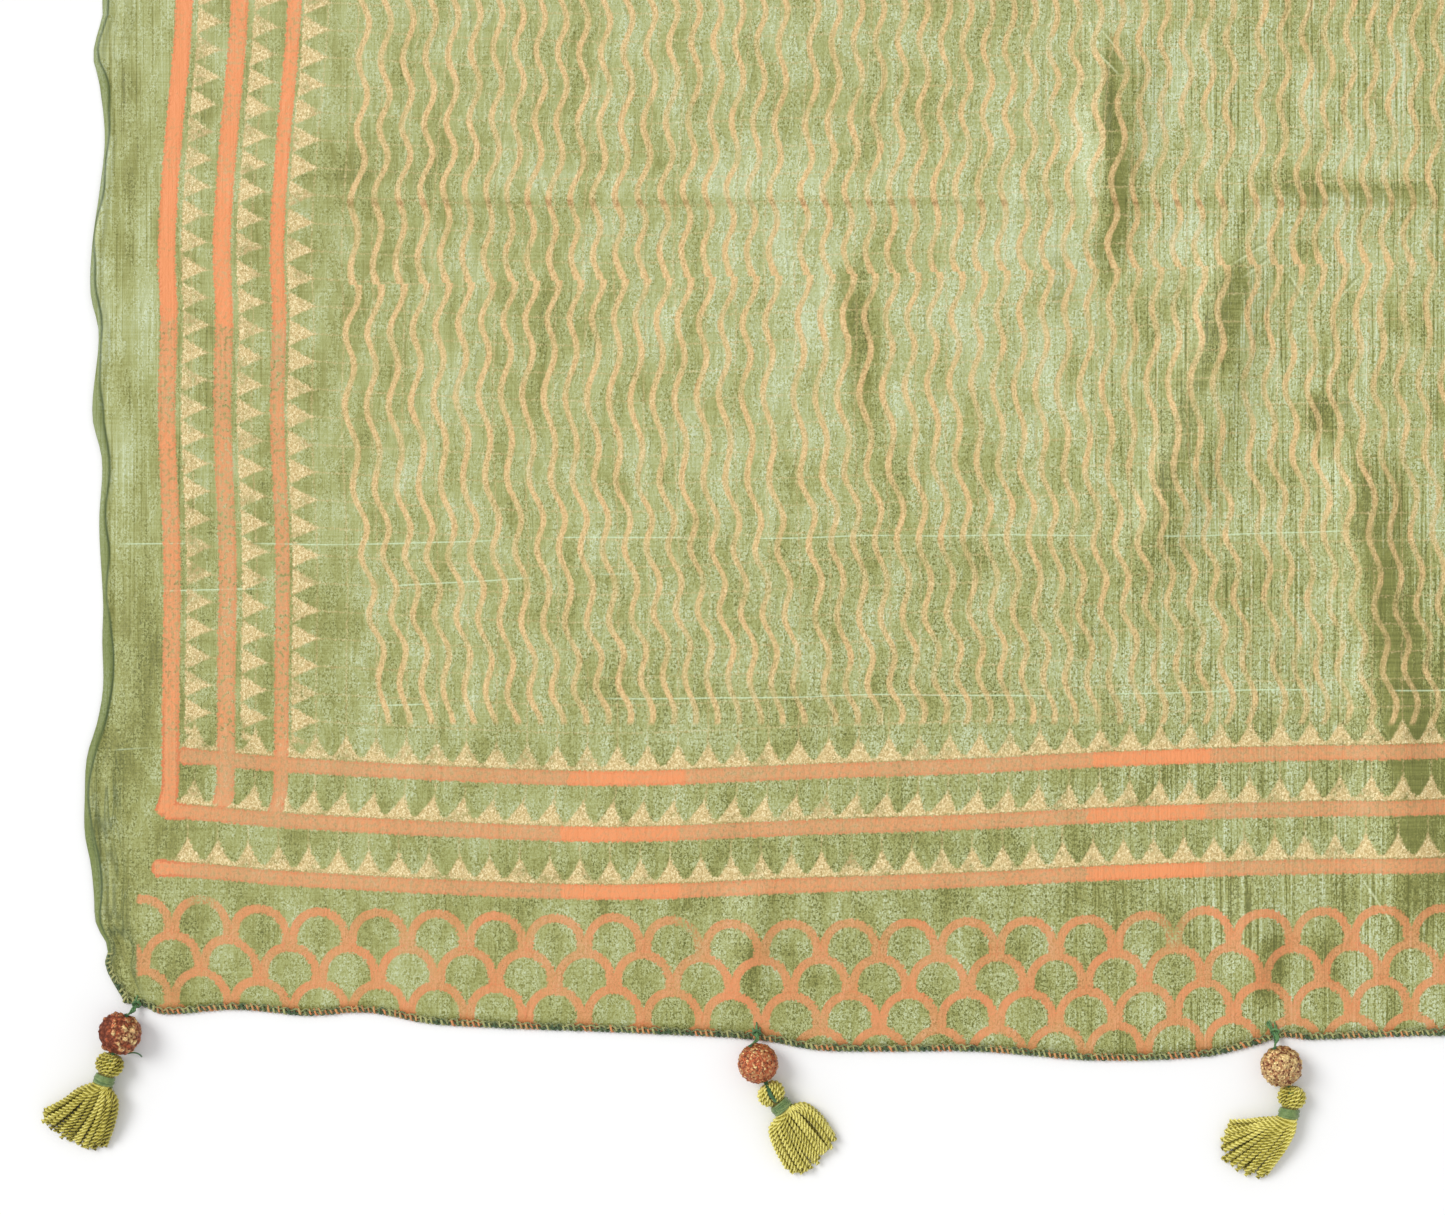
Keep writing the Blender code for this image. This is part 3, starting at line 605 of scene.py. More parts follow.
def printed_scales(across, along, fine):
    """The rows of scales, and the darker rims of their strokes."""
    depth = SCALE_TOP - along + SCALE_HALF_LINE
    marks, rims = [], []
    for row in (0, 1):
        down = depth - row * SCALE_ROW
        below = down % (2 * SCALE_ROW) - SCALE_HALF_LINE
        side = (across - SCALE_START + SCALE_PITCH * (1.5 - row * 0.5)) % SCALE_PITCH - SCALE_PITCH / 2
        drop = (below - SCALE_RADIUS).least(0.0)
        out = (side * side + drop * drop).made("SQRT")
        mark = out.band(SCALE_RADIUS, SCALE_HALF_LINE, 0.3) * below.rise(SCALE_ROW + 0.6, SCALE_ROW + 0.1)
        mark = mark * down.rise(-0.1, 0.1)
        marks.append(mark)
        rims.append(abs(out - SCALE_RADIUS).rise(0.6, 1.3) * mark)
    joint = ((across - SCALE_STAMP_START + SCALE_STAMP / 2) % SCALE_STAMP).band(SCALE_STAMP / 2, 4.0, 3.0)
    joint = joint * fine.rise(0.42, 0.52) * depth.rise(16.0, 9.0)
    return strongest(marks) * across.rise(13.6, 14.6) * (1.0 - joint), strongest(rims)


def gold_teeth(across, along):
    """The gold teeth that stand on the inner side of each orange line."""
    teeth = []
    off = abs((along - TOOTH_TIP_LONG) / TOOTH_PITCH_LONG % 1.0 - 0.5) * -2.0 + 1.0
    begun = along.rise(97.0, 99.0)
    for base, tall in LONG_TEETH:
        up = (across - base) / tall
        tooth = ((1.0 - up).most(0.0) ** 1.2 - off).rise(-0.10, 0.12)
        teeth.append(tooth * up.rise(-0.03, 0.03) * begun)
    off = abs((across - TOOTH_TIP_END) / TOOTH_PITCH_END % 1.0 - 0.5) * -2.0 + 1.0
    begun = across.rise(25.0, 27.0)
    for centre, half, _ in END_LINES:
        up = (along - centre - half - 0.3) / TOOTH_HEIGHT_END
        tooth = ((1.0 - up).most(0.0) ** 1.35 - off).rise(-0.10, 0.12).most(up.rise(0.16, 0.10) * 0.8)
        teeth.append(tooth * up.rise(-0.03, 0.03) * begun)
    return strongest(teeth)


def printed_waves(place, along, wander):
    """The wave lines' marks, inside their blocks, and the thicker join between two blocks."""
    higher = along.rise(WAVE_JOIN - 0.05, WAVE_JOIN + 0.05)
    place = (place - WAVE_START + higher * 0.4 + wander * 2.0) % WAVE_BLOCK
    top, middle, low = [(along - start) / long - turns for start, long, turns in WAVE_LENGTHS]
    turn = middle.least(low)
    turn = (turn + (top - turn) * higher + wander * 0.35) * (2 * math.pi)
    swing = turn.made("COSINE") * (WAVE_SWING - along.band(WAVE_JOIN + 1.0, 1.0, 15.0))
    off = abs((place - swing) % WAVE_PITCH - WAVE_PITCH / 2)
    join = along.band(WAVE_JOIN + 0.5, 2.0, 2.5)
    mark = off.rise(join * 0.25 + 1.38, join * 0.25 + 0.62)
    return mark * place.rise(145.4, 145.0), join


def run_along(look, place, start_x, start_y, end_x, end_y, middle, side=1.0):
    """How far a place lies from a run's middle as a share of its length, and how far to the right of a run that
    heads down. The middle is given as a share of the length too."""
    run_x, run_y = end_x - start_x, end_y - start_y
    inputs = {
        "Vector": place,
        "Location": Vector((start_x + run_x * middle, start_y + run_y * middle, 0.0)),
        "Rotation": Vector((0.0, 0.0, math.atan2(run_y, run_x))),
        "Scale": Vector((math.hypot(run_x, run_y), side, 1.0)),
    }
    return look.parts(look.node("Mapping", inputs, vector_type="TEXTURE").outputs[0])[:2]


def painted_fold_shade(look, place, crush, streak, fray):
    """Painted shade on the crisp folds' dark sides, each with a ragged far edge."""
    wobble = (crush - 0.5) * 6.0
    tail_swing = (streak - 0.5) * 1.6
    marks = []
    for *run, wide, strength in SHADED_FOLDS:
        t, past = run_along(look, place, *run, 0.5, math.copysign(1.0, wide))
        past = past + wobble
        wide = abs(wide)
        tail = past + tail_swing * wide
        shape = (past + fray).rise(-0.2, 0.9) * tail.rise(wide, wide * 0.6) * abs(t).rise(0.5, 0.2)
        marks.append(shape * strength)
    return strongest(marks)


def thin_creases(look, place, fray):
    """Painted highlights and painted shade on the two sides of the thin creases."""
    ragged = (fray - 0.5) * 0.5
    crease_highlight, deep = [], []
    for run in THIN_CREASES:
        t, past = run_along(look, place, *run, 0.46)
        past = past + ragged
        reach = abs(t).rise(0.52, 0.2)
        crease_highlight.append(past.band(-0.4, 0.22, 0.35) * reach)
        deep.append(past.band(0.5, 0.25, 0.45) * reach)
    return strongest(crease_highlight), strongest(deep)


def edge_pleat_shade(look, edge, from_end):
    """Painted shade lines in the small gathers close to the long edge."""
    gathers = look.noise(edge * 0.34, from_end * 0.03, 91.0, detail=1.0)
    pleats = gathers.band(0.48, 0.035, 0.06).most(gathers.band(0.62, 0.035, 0.06) * 0.8)
    pleats = pleats * edge.rise(1.0, 2.4) * edge.rise(13.0, 8.0)
    near = from_end.rise(100.0, 78.0) * 0.75 + from_end.rise(290.0, 330.0) * 0.25
    return pleats * near * from_end.rise(3.0, 12.0)


def silk_look():
    """The printed silk, from its bare weave and folds up to the inks in the order that they are stamped."""
    look = Look("silk", 0.45, Sheen_Weight=0.12, Sheen_Roughness=0.4)
    x, y, _ = look.places()
    lines, rows, waves = look.attribute("print_place")
    scales, tone, edge = look.attribute("scales_painted_light_and_edge")
    fine = look.noise(x * 1.7, y * 1.35, detail=1.5, rough=0.6, twist=0.9)
    patch = look.noise(x * 0.085, y * 0.042, 3.0)
    streak = look.noise(x * 1.35, y * 0.022, 5.0, detail=1.0)
    weft = look.noise(x * 0.03, y * 1.5, 9.0, detail=1.0)
    crush = look.noise(x * 0.30, y * 0.10, 11.0, twist=0.8)
    fray = look.noise(x * 1.7, y * 1.7, 21.0, detail=0.0)
    wander = look.noise(x * 0.02, y * 0.02, 31.0, detail=0.0) - 0.5
    cover = look.noise(x * 0.05, y * 0.05, 51.0, rough=0.6)
    dabs = look.noise(x * 0.13, y * 0.13, 81.0, detail=1.0)
    holes = look.noise(x * 0.75, y * 0.75, 101.0, detail=0.0)
    grain, thin, pitted = fine - 0.5, cover - 0.5, holes - 0.5

    frayed = (fray - 0.5) * 0.9 + pitted * 0.7
    level = WIDTH / 2 - abs(lines - WIDTH / 2)
    across = WIDTH / 2 - abs(lines + frayed - WIDTH / 2)
    along = LENGTH / 2 - abs(rows + frayed - LENGTH / 2)
    scale_along = LENGTH / 2 - abs(scales + frayed - LENGTH / 2)
    front = y.made("SIGN") * -1.0
    own_x, own_y = x * front, y * front
    own_place = look.spot(own_x, own_y, 0.0)
    from_end = LENGTH / 2 - abs(y)
    from_left = own_x + WIDTH / 2
    low_edge = from_end.rise(180.0, 110.0)
    long_run = along.rise(96.0, 98.0)

    # The storage crease across the end: the green and the wave gold are darkened along it as painted shade
    crease = from_end.band(STORAGE_CREASE, 1.2, 1.0) * own_x.rise(-400.0, -385.0)
    border = level.rise(110.0, 62.0).most((LENGTH / 2 - abs(rows - LENGTH / 2)).rise(112.0, 95.0) * 0.7)
    corner = across.rise(60.0, 5.0) * along.rise(260.0, 60.0)
    upper = along.rise(110.0, 200.0)
    rough = crush.rise(0.42, 0.56) * 0.7 + own_x.rise(-420.0, -150.0) * 0.45
    rough = rough + from_end.rise(200.0, 90.0) * 0.3 + 0.15
    lined = own_x.rise(-178.0, -96.0) * (cover * 1.1 + 0.2) + across.rise(75.0, 10.0) * upper * 0.4 + 0.22
    # tone adds the painted shade and highlight of the folds, from TONES, to the green's mottling
    shade = 0.56 + (patch - 0.5) * 0.62 + (crush - 0.5) * 0.28 + tone * 0.40 - border * 0.09 - corner * 0.04
    shade = shade + across.rise(22.0, 16.0) * upper * 0.18 + grain * rough * 0.5
    shade = shade + (0.33 - fine.rise(0.54, 0.40)) * rough * 0.26
    shade = shade + (weft - 0.5) * 0.22 - crease * 0.05 - from_end.rise(175.0, 150.0) * 0.03
    # Lengthwise streaks in the weave, with fine crinkles painted paler and darker as their lit and shaded sides
    shade = shade + (streak.rise(0.60, 0.72) * 0.24 - streak.rise(0.40, 0.28) * 0.36) * lined
    green = look.ramp(shade, *SILK_GREENS)

    # The crisp folds' painted shade: a dark olive mixed over the green on each fold's shaded side
    fold_shade_colour = look.ramp(weft, (0.3, 112, 116, 50), (0.7, 136, 139, 70))
    fold_shade = painted_fold_shade(look, own_place, crush, streak, fray)
    green = look.mixed(fold_shade * (dabs.rise(0.32, 0.56) * 0.5 + 0.5), green, fold_shade_colour)
    crease_highlight, deep = thin_creases(look, own_place, fray)
    # A painted highlight, then painted shade, along the thin creases
    green = look.mixed(crease_highlight * 0.7, green, (214, 222, 176))
    green = look.mixed(deep * 0.75, green, (120, 126, 58))
    # The long edge: darker on its outer 2 mm where it is rolled, a dark line about 2 mm in, and painted shade
    # lines in its gathers
    roll = look.noise(from_left * 0.01, from_end * 0.03, 111.0, detail=1.0)
    rolled = edge + (roll - 0.5) * 6.0
    lip = rolled.band(2.0, 0.24, 0.5) * (patch * 1.2 + 0.3).kept()
    green = look.mixed(rolled.rise(2.6, 2.0) * (low_edge * 0.1 + 0.6), green, (98, 116, 54))
    green = look.mixed(lip.most(edge_pleat_shade(look, edge, from_end) * 0.9), green, (50, 70, 34))
    bend = look.noise(from_left * 0.012, from_end * 0.004, 61.0, detail=1.0) * 9.0 - 4.5
    broken = look.noise(from_left * 0.03, from_end * 0.05, 71.0, detail=0.0).rise(0.38, 0.52)
    for high, slope, start, end in BRIGHT_WEFTS:
        thread = (from_end - high + from_left * slope + bend * 0.5).band(0.0, 0.2, 0.2)
        reach = from_left.rise(start, start + 3) * from_left.rise(end, end - 30)
        green = look.mixed(thread * broken * reach * 0.8, green, (205, 225, 185))

    wave_line, join = printed_waves(waves + frayed * 0.5, from_end - from_left * WAVE_TILT + 1.8, wander)
    field = (across - from_end.rise(165.0, 105.0) * 12.0).rise(79.0, 80.0) * from_end.rise(100.0, 102.0)
    wave_ink = 0.84 + thin * 0.9 + (dabs - 0.5) + join * 0.3 + grain * 0.6
    wave_ink = (wave_ink - own_x.rise(-330.0, -60.0) * 0.20 - from_end.rise(175.0, 150.0) * 0.06).kept()
    # the wave gold turns darker along the storage crease, as painted shade
    wave_gold_and_shade = look.ramp(fine - crease * 0.3, *WAVE_GOLDS)
    printed = look.mixed(wave_line * field * wave_ink * 0.95, green, wave_gold_and_shade)

    teeth = gold_teeth(across, along)
    gold = teeth * (cover * 1.6 + dabs * 2.8 - across.rise(46.0, 44.0) * 0.22 - 1.22 + grain * 1.3).kept()
    gold_dye = look.ramp(fine, *TOOTH_GOLDS)
    printed = look.mixed(teeth * (pitted * 1.6 + 0.55).kept(), printed, (184, 160, 106))
    printed = look.mixed(gold * 0.9, printed, gold_dye)

    scale_mark, scale_rim = printed_scales(across, scale_along, fine)
    cloudy = (0.74 + grain * 0.8 + thin * 0.7).kept()
    printed = look.mixed(scale_mark * cloudy, printed, (222, 143, 92))
    deep_rim = scale_mark * scale_rim * (grain + dabs).rise(0.4, 0.7)
    printed = look.mixed(deep_rim * 0.5, printed, (212, 112, 62))

    orange, core = printed_lines(across, along)
    begin = across.rise(34.0, 22.0) * along.rise(110.0, 96.0)
    overlap = ((across - END_STAMP_START) % END_STAMP).rise(40.0, 38.0)
    end_ink = overlap * 0.40 + begin * 0.3 + thin * 0.5 + 0.42
    long_ink = along.rise(233.0, 235.0) * 0.35 + across.rise(30.0, 28.0) * 0.15 + thin * 0.7 + 0.36
    ink = end_ink + (long_ink - end_ink) * long_run
    dyed = ink + grain * 0.5 + pitted * 0.5 + long_run * 0.12
    orange_dye = look.ramp(dyed, (0.15, 205, 156, 110), (0.90, 234, 147, 92))
    bitten = holes.rise(0.44, 0.34) * (1.0 - ink).kept() * (long_run * 0.7 + 0.4)
    worn = (ink * 0.4 + 0.68 + grain * 0.5 - bitten * 0.75).kept()
    printed = look.mixed(orange * worn, printed, orange_dye)
    rim = (orange - core).kept() * (fine + begin * 0.4).rise(0.35, 0.75)
    printed = look.mixed(rim * 0.7, printed, (206, 106, 58))
    look.give("Base Color", printed)

    look.give("Roughness", 0.52 - patch * 0.18 + orange * 0.12)
    ribs = own_x.rise(-178.0, -96.0) * 0.18 + level.rise(75.0, 10.0) * 0.08 + 0.06
    look.bump(streak * ribs + fine * 0.14 + crush * (0.85 - border * 0.5), 0.8)
    return look.material


def thread_look(name, dark, light, roughness):
    """Spun thread: its plies' own shading, with a slow change of dye; a vertex's dye moves it to orange."""
    look = Look(name, roughness, Sheen_Weight=0.2)
    x, y, z = look.places()
    speck = look.noise(x * 2.2, y * 2.2, z * 2.2)
    slow = look.noise(x * 0.35, y * 0.35, z * 0.35, detail=1.0)
    dye, shade, _ = look.attribute("dye")
    plain = look.ramp((slow + (speck - 0.5) * 0.9 + shade).kept(), (0.25, *dark), (0.75, *light))
    look.give("Base Color", look.mixed(dye, plain, (214, 136, 80)))
    look.bump(speck * 0.12, 0.6)
    return look.material


def yarn_look():
    look = Look("yarn", 0.6, Sheen_Weight=0.2, Sheen_Roughness=0.35)
    x, y, z = look.places()
    hairs = look.noise(x * 3.0, y * 3.0, z * 3.0)
    slow = look.noise(x * 0.25, y * 0.25, z * 0.25, detail=1.0)
    _, shade, _ = look.attribute("dye")
    tone = (slow * 0.6 + hairs * 0.5 + shade).kept()
    look.give("Base Color", look.ramp(tone, (0.12, 96, 86, 20), (0.5, 180, 168, 56), (0.95, 244, 234, 134)))
    look.bump(hairs * 0.15, 0.7)
    return look.material


def bead_look():
    """Crushed foil on a copper ground: gilt where the vertex says so, gold flecks brightened into painted
    glints, dull and brown in the hollows.
    """
    look = Look("bead", 0.34, Metallic=0.55)
    x, y, z = look.places()
    gilt, hollow, _ = look.attribute("dye")
    grain = look.node("TexVoronoi", {"Vector": look.spot(x * 1.7, y * 1.7, z * 1.7), "Scale": 1.0})
    glint = look.parts(grain.outputs["Color"])[0]
    speck = look.noise(x * 2.6, y * 2.6, z * 2.6, detail=1.0)
    # Cells with a high glint turn pale gold, as gold flecks brightened into painted glints; those with a low
    # one turn dull brown
    share = (gilt * 0.75 - 0.1 + glint.rise(0.62, 0.9) * (gilt * 0.8 + 0.35) + (speck - 0.5) * 0.5).kept()
    foil = look.mixed(share, (206, 108, 64), (255, 226, 158))
    dull = (hollow * 0.9 + (speck - 0.5) * 0.6 + glint.rise(0.30, 0.1) * 0.7).kept()
    look.give("Base Color", look.mixed(dull, foil, (112, 56, 38)))
    look.give("Roughness", (hollow * 0.4 + 0.15 + glint * 0.2).kept())
    look.bump(speck * 0.25 - Value(look.tree, grain.outputs["Distance"]) * 0.35, 0.8)
    return look.material


def lengths_along(path):
    """How far along a path each of its points lies."""
    steps = np.linalg.norm(np.diff(path, axis=0), axis=1)
    return np.concatenate([[0.0], np.cumsum(steps)])


def directions(path):
    ways = np.gradient(path, axis=0)
    return ways / np.linalg.norm(ways, axis=1)[:, None]


def frames(path):
    """Two directions across a path at each of its points, carried along it without twisting."""
    ways = directions(path)
    side = np.cross(ways[0], (0.0, 0.0, 1.0) if abs(ways[0][2]) < 0.9 else (0.0, 1.0, 0.0))
    sides = []
    for way in ways:
        side = side - way * (side @ way)
        side = side / np.linalg.norm(side)
        sides.append(side)
    sides = np.array(sides)
    return sides, np.cross(ways, sides)


class Pile:
    """Many small tubes gathered into one mesh, with a dye and a shade for each."""

    def __init__(self):
        self.points, self.faces, self.dyes, self.count = [], [], [], 0

    def add(self, points, faces, dye, shade):
        self.points.append(points)
        self.faces.extend((np.array(faces) + self.count).tolist())
        self.dyes.append(np.stack([np.full(len(points), dye), np.broadcast_to(shade, len(points))], 1))
        self.count += len(points)

    def tube(self, path, radius, sides=5, dye=0.0, shade=0.0, plies=1, lay=2.6):
        """A thread along a path: plies twist round each other once in each length of lay."""
        path = np.array(path, float)
        across, up = frames(path)
        run = lengths_along(path)
        radius = np.broadcast_to(np.asarray(radius, float), len(path))
        turns = np.linspace(0, 2 * np.pi, sides, endpoint=False)
        for ply in range(plies):
            centre, thick = path, radius
            if plies > 1:
                angle = 2 * np.pi * (run / lay + ply / plies)
                thick = radius * 0.55
                offset = np.cos(angle)[:, None] * across + np.sin(angle)[:, None] * up
                centre = path + offset * (radius * 0.52)[:, None]
            rim = np.cos(turns)[None, :, None] * across[:, None] + np.sin(turns)[None, :, None] * up[:, None]
            points = (centre[:, None] + rim * thick[:, None, None]).reshape(-1, 3)
            rings = np.arange(len(path) - 1)[:, None] * sides
            here = np.arange(sides)[None, :]
            after = (here + 1) % sides
            quads = np.stack(
                [rings + here, rings + after, rings + sides + after, rings + sides + here], -1
            ).reshape(-1, 4)
            last = (len(path) - 1) * sides
            caps = []
            for k in range(1, sides - 1, 2):
                near = min(k + 2, sides - 1)
                caps.append((0, near, k + 1, k) if near != k + 1 else (0, k + 1, k, k))
                caps.append((last, last + k, last + k + 1, last + near))
            # lit: a painted highlight on each ply's outer side and painted shade where the plies meet, added to
            # the shade
            lit = np.zeros((len(path), sides))
            if plies > 1:
                lit = 0.52 * np.clip(np.cos(angle[:, None] - turns[None, :]), 0, None) ** 2 - 0.10
            self.add(points, quads, dye, shade + lit.ravel())
            self.faces.extend(
                [tuple(dict.fromkeys(i + self.count - len(points) for i in cap)) for cap in caps]
            )

    def mesh(self, name, material):
        made = bpy.data.meshes.new(name)
        made.from_pydata((np.concatenate(self.points) * MM).tolist(), [], self.faces)
        dyes = np.concatenate(self.dyes)
        # The dye attribute holds each vertex's dye and then its shade, which includes painted light on the
        # plies
        add_attribute(made, "dye", dyes[:, 0], dyes[:, 1])
        made.materials.append(material)
        made.shade_smooth()
        return made


def bend(points, count):
    """A smooth path through a few points."""
    points = np.array(points, float)
    run = lengths_along(points)
    at = np.linspace(0, run[-1], count)
    return np.stack([curve_through(list(zip(run, points[:, k])), at) for k in range(3)], 1)


def outward(degrees, reach=1.0, height=0.0):
    """A level step, turned from straight out of the end towards +X."""
    angle = math.radians(degrees)
    return np.array((math.sin(angle) * reach, -math.cos(angle) * reach, height))


def drop_anchor(across):
    return np.array((across - WIDTH / 2, float(end_edge_inward(across)) - LENGTH / 2, 0.0))


def silk_top(x, y):
    """About how high the silk's face lies at a place."""
    height = cloth_height(np.array([x]), np.array([y]))[0]
    return float(height) + SILK_THICKNESS + 0.5


def make_overlock(material):
    """The overlocked end and its corners: a loop of thread round the edge for each stitch, and a chain."""
    dice = random.Random(7)
    pile = Pile()
    up = np.linspace(19.0, 1.0, 13)
    across = np.linspace(0.0, WIDTH, 400)
    left = np.stack(cloth_point(up * 0, up), 1)
    right = np.stack(cloth_point(up[::-1] * 0 + WIDTH, up[::-1]), 1)
    end = np.stack([cloth_point(across, across * 0)[0], end_edge_inward(across) - LENGTH / 2], 1)
    edge = np.concatenate([left, end, right])
    run = lengths_along(edge)
    at = np.arange(0.5, run[-1] - 0.5, STITCH_PITCH)
    places = np.stack([np.interp(at, run, edge[:, k]) for k in (0, 1)], 1)
    chain = []
    for (x, y), (way_x, way_y) in zip(places, directions(places)):
        turned = np.array(((way_x, way_y, 0), (-way_y, way_x, 0), (0, 0, 1)))
        place = np.array((x, y, 0.0))
        from_left = x + WIDTH / 2
        lean = dice.uniform(0.6, 1.3)
        near_scale = math.cos((from_left - 45.0) / SCALE_PITCH * 2 * math.pi) > 0.45
        chance = 0.7 if 20.0 < from_left < 100.0 else 0.75 if near_scale else 0.08
        inked = dice.random() < chance and from_left > 20.0
        dye = dice.uniform(0.5, 1.0) if inked else 0.0
        shade = dice.uniform(-0.3, 0.6)
        reach = dice.uniform(1.7, 2.4)
        loop = [
            (lean, reach, 0.5), (lean * 0.7, 0.7, 0.42), (0.1, 0.0, 0.85),
            (-0.2, 0.5, 1.3), (-0.5, 1.4, 1.35), (-lean, reach, 1.0),
        ]
        pile.tube(place + bend(loop, 8) @ turned, dice.uniform(0.36, 0.50), 4, dye, shade)
        swing = 0.4 if len(chain) % 4 else -0.35
        for inward, height in ((0.6, 1.2), (1.75, 1.35)):
            at = np.array((0.0, inward + swing + dice.uniform(-0.2, 0.2), height))
            chain.append(place + at @ turned)
    pile.tube(bend(chain[0::2], len(places) * 3), 0.34, 4, 0.0, -0.3)
    pile.tube(bend(chain[1::2], len(places) * 3), 0.30, 4, 0.0, 0.0)
    return pile.mesh("overlock_front", material)


def make_tassel(name, number, material):
    """A bunch of two-ply yarn: loops over the thread make its head, and below its neck the skirt spreads."""
    dice = random.Random(100 + number)
    pile = Pile()
    neck_at = HEAD_HALF_LENGTH + SEAM_GAP + WRAP_LENGTH / 2
    root = neck_at + WRAP_LENGTH / 2
    shape, turned, dull = SKIRT_SHAPES[number - 1]
    for k in range(HEAD_LOOPS):
        angle = 2 * math.pi * (k + 0.5) / HEAD_LOOPS + 0.2
        round_x, round_z = math.cos(angle), math.sin(angle)
        cleft = 0.30 if number in (2, 5) and abs(round_x) < 0.3 and round_z > 0 else 0.0
        lobe = 1.04 + 0.08 * abs(round_x) - cleft
        path = []
        for step in range(12):
            turn = math.pi * (0.06 + 0.80 * step / 11)
            out = (HEAD_RADIUS - 0.75) * math.sin(turn) ** 0.7 * lobe
            swirl = angle + 0.7 * (step / 11 - 0.5)
            down = (HEAD_HALF_LENGTH - 0.2) * math.cos(turn)
            path.append((math.cos(swirl) * out, down, math.sin(swirl) * out))
        path.append((round_x * 1.3, -neck_at, round_z * 1.3))
        pile.tube(bend(path, 26), 0.80, 4, 0.0, dice.uniform(-0.15, 0.12) - dull, plies=2, lay=2.9)
    # The core inside the head is painted 0.4 darker, as shade between the loops
    core = [(0, HEAD_HALF_LENGTH * 0.6, 0), (0, 0, 0), (0, -HEAD_HALF_LENGTH, 0), (0, -root - 1.5, -0.3)]
    pile.tube(bend(core, 8), [1.2, 2.4, 3.0, 2.9, 2.6, 2.3, 2.2, 2.0], 10, 0.0, -0.4)
    left, tips, right = SKIRTS[shape]
    left, right = np.array(left), np.array(right)
    tip_rows = np.array([tuple(left[-1]), *tips, tuple(right[-1])])
    shares = np.linspace(0, 1, len(tip_rows))
    floor = 0.75 - HEAD_RADIUS
    for k in range(SKIRT_STRANDS):
        layer = (0, 2, 1, 3)[k % 4]
        share = np.clip((k + 0.5 + dice.uniform(-0.5, 0.5)) / SKIRT_STRANDS, 0.01, 0.99)
        if layer in (0, 3):
            share = 0.5 + (share - 0.5) * (1.0 if layer == 0 else 0.92)
        sides = left * (1 - share) + right * share
        tip = np.array([curve_through(list(zip(shares, tip_rows[:, i])), share) for i in (0, 1)])
        back = dice.uniform(-0.9, 0.9) if layer < 2 else dice.uniform(-0.6, 3.2)
        tip = tip + np.array((dice.uniform(-0.6, 0.6), back))
        lift = (0.0, 1.15, 2.2, 3.2)[layer]
        start = np.array(((share - 0.5) * 4.6, (-1.6, -0.5, 0.7, 1.7)[layer]))
        path = [(start[0] * 0.7, -neck_at, start[1] * 0.8), (start[0], -root, start[1])]
        sway = dice.uniform(-0.75, 0.75)
        curl = dice.uniform(-0.5, 0.5)
        for index, t in ((1, 0.36), (2, 0.7), (3, 1.0)):
            flat = sides[index] + (tip - sides[3]) * t**1.5
            low = floor + lift * (1.0 - 0.25 * t)
            height = start[1] + (low - start[1]) * t**0.8 + 0.9 * math.sin(math.pi * t) * (layer > 1)
            swerve = sway * math.sin(3 * math.pi * t) + curl * math.sin(math.pi * t)
            path.append((flat[0] + swerve, flat[1], max(height, floor)))
        # The two lower layers are painted darker, as shade under the upper ones
        shade = dice.uniform(-0.18, 0.16) - (0.08 if layer < 2 else 0.0) - dull
        points = bend(path, 60)
        if turned:
            points[:, 0] *= -1
        pile.tube(points, 0.78, 4, 0.0, shade, plies=2, lay=2.9)
    return pile.mesh(name, material)


def make_wrap(name, number, material):
    """The turns of thread round a tassel's neck, with a crossing turn or two."""
    dice = random.Random(200 + number)
    pile = Pile()
    turns = 6
    path = []
    for step in range(turns * 12 + 1):
        angle = 2 * math.pi * step / 12
        along = (step / (turns * 12) - 0.5) * (WRAP_LENGTH - 0.7)
        radius = 3.05 + 0.12 * math.sin(step * 0.7)
        path.append((math.cos(angle) * radius, -along, math.sin(angle) * radius))
    pile.tube(path, 0.42, 6, 0.0, 0.1)
    crossings = 5 if number == 2 else 2
    for k in range(crossings):
        lean = dice.uniform(-1.0, 1.0) if number == 2 else dice.uniform(-0.4, 0.4)
        start = dice.uniform(0, 2 * math.pi)
        path = []
        for step in range(13):
            angle = start + 2 * math.pi * step / 12
            path.append((math.cos(angle) * 3.3, lean * 1.3 * math.sin(angle + k), math.sin(angle) * 3.3))
        pile.tube(path, 0.34, 5, 0.0, dice.uniform(-0.3, 0.3))
    return pile.mesh(name, material)


